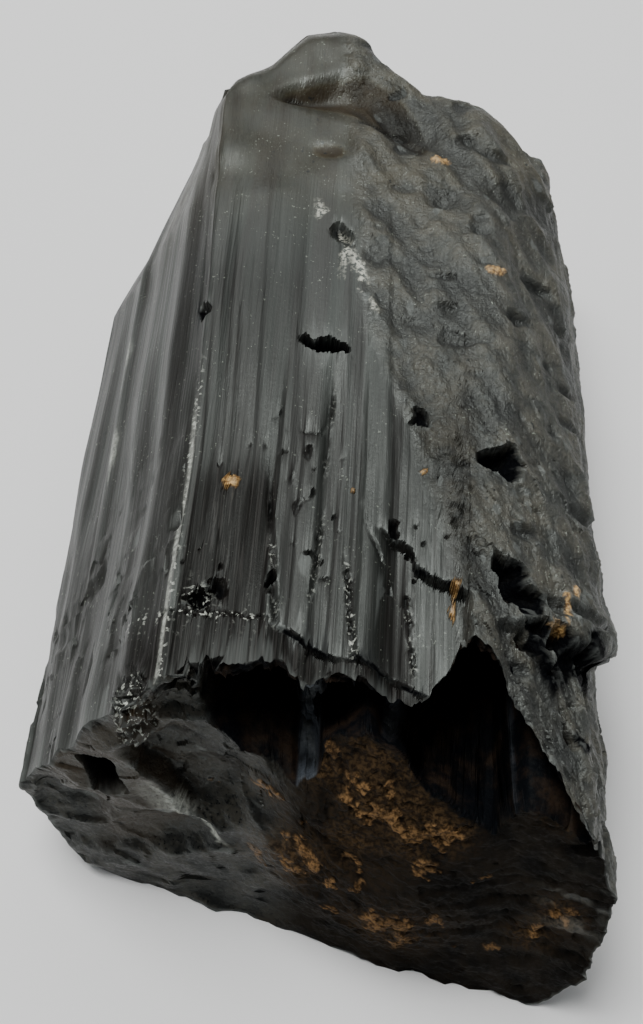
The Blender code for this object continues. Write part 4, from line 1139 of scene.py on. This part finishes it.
def base_colour(n, m, t):
    """Colour of the faces and the break, with pale crumbs that are partly painted glints, painted shade in
    crevices, and edges lightened as wear and as painted highlight.
    """
    colour = n.blend(m.near, face_colour(n, m, t), break_colour(n, m, t))
    # Pale places: the sliver, partly a painted highlight, the glossy streaks as a painted highlight, the
    # ridge line and the flank spots.
    pale = n.times(m.pale, n.ramp(t.patches, 0.3, 0.55, 0.4, 1))
    colour = n.blend(pale, colour, n.pair("pale", t.grain, 0.3, 0.6))
    # Pale crumbs, partly painted glints.
    colour = n.blend(n.times(m.crumbs, n.ramp(t.glints, 0.57, 0.63)), colour, CRUMB_AND_GLINT)
    # Painted shade: crevices found by the mesh's pointiness are darkened.
    edge = n.put("ShaderNodeNewGeometry", {}, "Pointiness")
    colour = n.blend(n.ramp(edge, 0.49, 0.44, 0, 0.8), colour, DEEP_BLACK)
    # Convex edges are lightened, as wear and as a painted highlight, except on the near break outside its
    # left part.
    mound = n.math("SUBTRACT", m.near, m.left)
    worn = n.times(n.ramp(edge, 0.515, 0.58, 0, 0.7), n.math("SUBTRACT", 1, mound))
    return n.blend(worn, colour, EDGE_WEAR_AND_HIGHLIGHT)


def roughness(n, m, t):
    face = n.ramp(t.streaks, 0.3, 0.7, 0.34, 0.5)
    face = n.math("ADD", face, n.times(m.rough, n.ramp(t.grain, 0.3, 0.7, 0.02, 0.22)))
    near = n.math("SUBTRACT", n.ramp(t.grain, 0.3, 0.7, 0.5, 0.8), n.times(m.left, 0.25))
    return n.number(m.near, face, near)


def mirror_strength(n, m):
    """How strongly the surface mirrors: less in dark places, little on the break."""
    matte = n.most(n.times(m.dark_panel, 0.42), n.times(m.cavity, 0.48), n.times(m.flank, 0.3))
    matte = n.most(matte, n.ramp(m.far_hollow, 0.4, 0.9, 0, 0.28))
    near = n.most(n.times(m.left, 0.24), n.times(m.pillar, 0.35), 0.035)
    return n.number(m.near, n.math("SUBTRACT", 0.5, matte), near)


def fine_relief(n, m, t):
    """Relief finer than the mesh: lines along the faces, hackly grain elsewhere."""
    on_prism = n.math("SUBTRACT", 1, m.near)
    lines = n.math("ADD", n.times(t.streaks, 0.55), n.times(t.hairlines, 0.45))
    relief = n.bump(n.times(lines, on_prism), 0.0001, 0.42)
    matrix = n.math("SUBTRACT", m.near, n.times(m.left, 0.7))
    uneven = n.math("ADD", 0.2, n.most(m.rough, matrix))
    relief = n.bump(n.times(t.grain, uneven), 0.00014, 0.6, relief)
    hackly = n.times(t.patches, n.most(m.rough, n.times(m.left, 0.5)))
    relief = n.bump(hackly, 0.0007, 0.7, relief)
    return n.bump(t.broad, 0.0006, 0.3, relief)


def crystal_material():
    material = bpy.data.materials.new("black_tourmaline")
    material.use_nodes = True
    n = Nodes(material)
    m = painted_masks(n)
    t = SimpleNamespace(**{name: n.noise(*spec) for name, spec in TEXTURES.items()})
    n.plug(base_colour(n, m, t), n.shader.inputs["Base Color"])
    n.plug(roughness(n, m, t), n.shader.inputs["Roughness"])
    n.plug(mirror_strength(n, m), n.shader.inputs["Specular IOR Level"])
    n.plug(MIRROR_TINT, n.shader.inputs["Specular Tint"])
    n.plug(IOR, n.shader.inputs["IOR"])
    n.plug(fine_relief(n, m, t), n.shader.inputs["Normal"])
    return material


def floor_material():
    material = bpy.data.materials.new("pale_floor")
    material.use_nodes = True
    shader = material.node_tree.nodes["Principled BSDF"]
    shader.inputs["Base Color"].default_value = FLOOR_COLOUR
    shader.inputs["Roughness"].default_value = 0.85
    return material


def add_floor():
    bpy.ops.mesh.primitive_plane_add(size=FLOOR_SIZE)
    floor = bpy.context.object
    floor.name = "floor"
    floor.data.materials.append(floor_material())


def add_camera():
    pitch, yaw = math.radians(CAMERA_PITCH), math.radians(CAMERA_YAW)
    ahead = Vector((-math.sin(yaw) * math.cos(pitch), math.cos(yaw) * math.cos(pitch), -math.sin(pitch)))
    right = Vector((math.cos(yaw), math.sin(yaw), 0))
    up = right.cross(ahead)
    data = bpy.data.cameras.new("camera")
    data.sensor_width = SENSOR
    data.lens = CAMERA_LENS
    data.clip_start = 0.005
    camera = placed("camera", data)
    axes = Matrix((right, up, -ahead)).transposed().to_4x4()
    camera.matrix_world = Matrix.Translation(Vector(CAMERA_AT) * MM) @ axes
    bpy.context.scene.camera = camera


def area_light(name, at, size, power):
    data = bpy.data.lights.new(name, "AREA")
    data.shape = "RECTANGLE"
    data.size, data.size_y = size
    data.energy = power
    light = placed(name, data)
    light.location = at
    light.rotation_euler = (Vector(LIGHTS_AIM) - Vector(at)).to_track_quat("-Z", "Y").to_euler()


def add_lights():
    world = bpy.data.worlds.new("studio")
    bpy.context.scene.world = world
    world.use_nodes = True
    sky = world.node_tree.nodes["Background"]
    sky.inputs["Color"].default_value, sky.inputs["Strength"].default_value = SKY
    for light in LIGHTS:
        area_light(*light)


def main():
    crystal = build_crystal()
    crystal.data.materials.append(crystal_material())
    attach(crystal, "root")
    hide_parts(NODE)
    add_floor()
    add_lights()
    add_camera()


main()
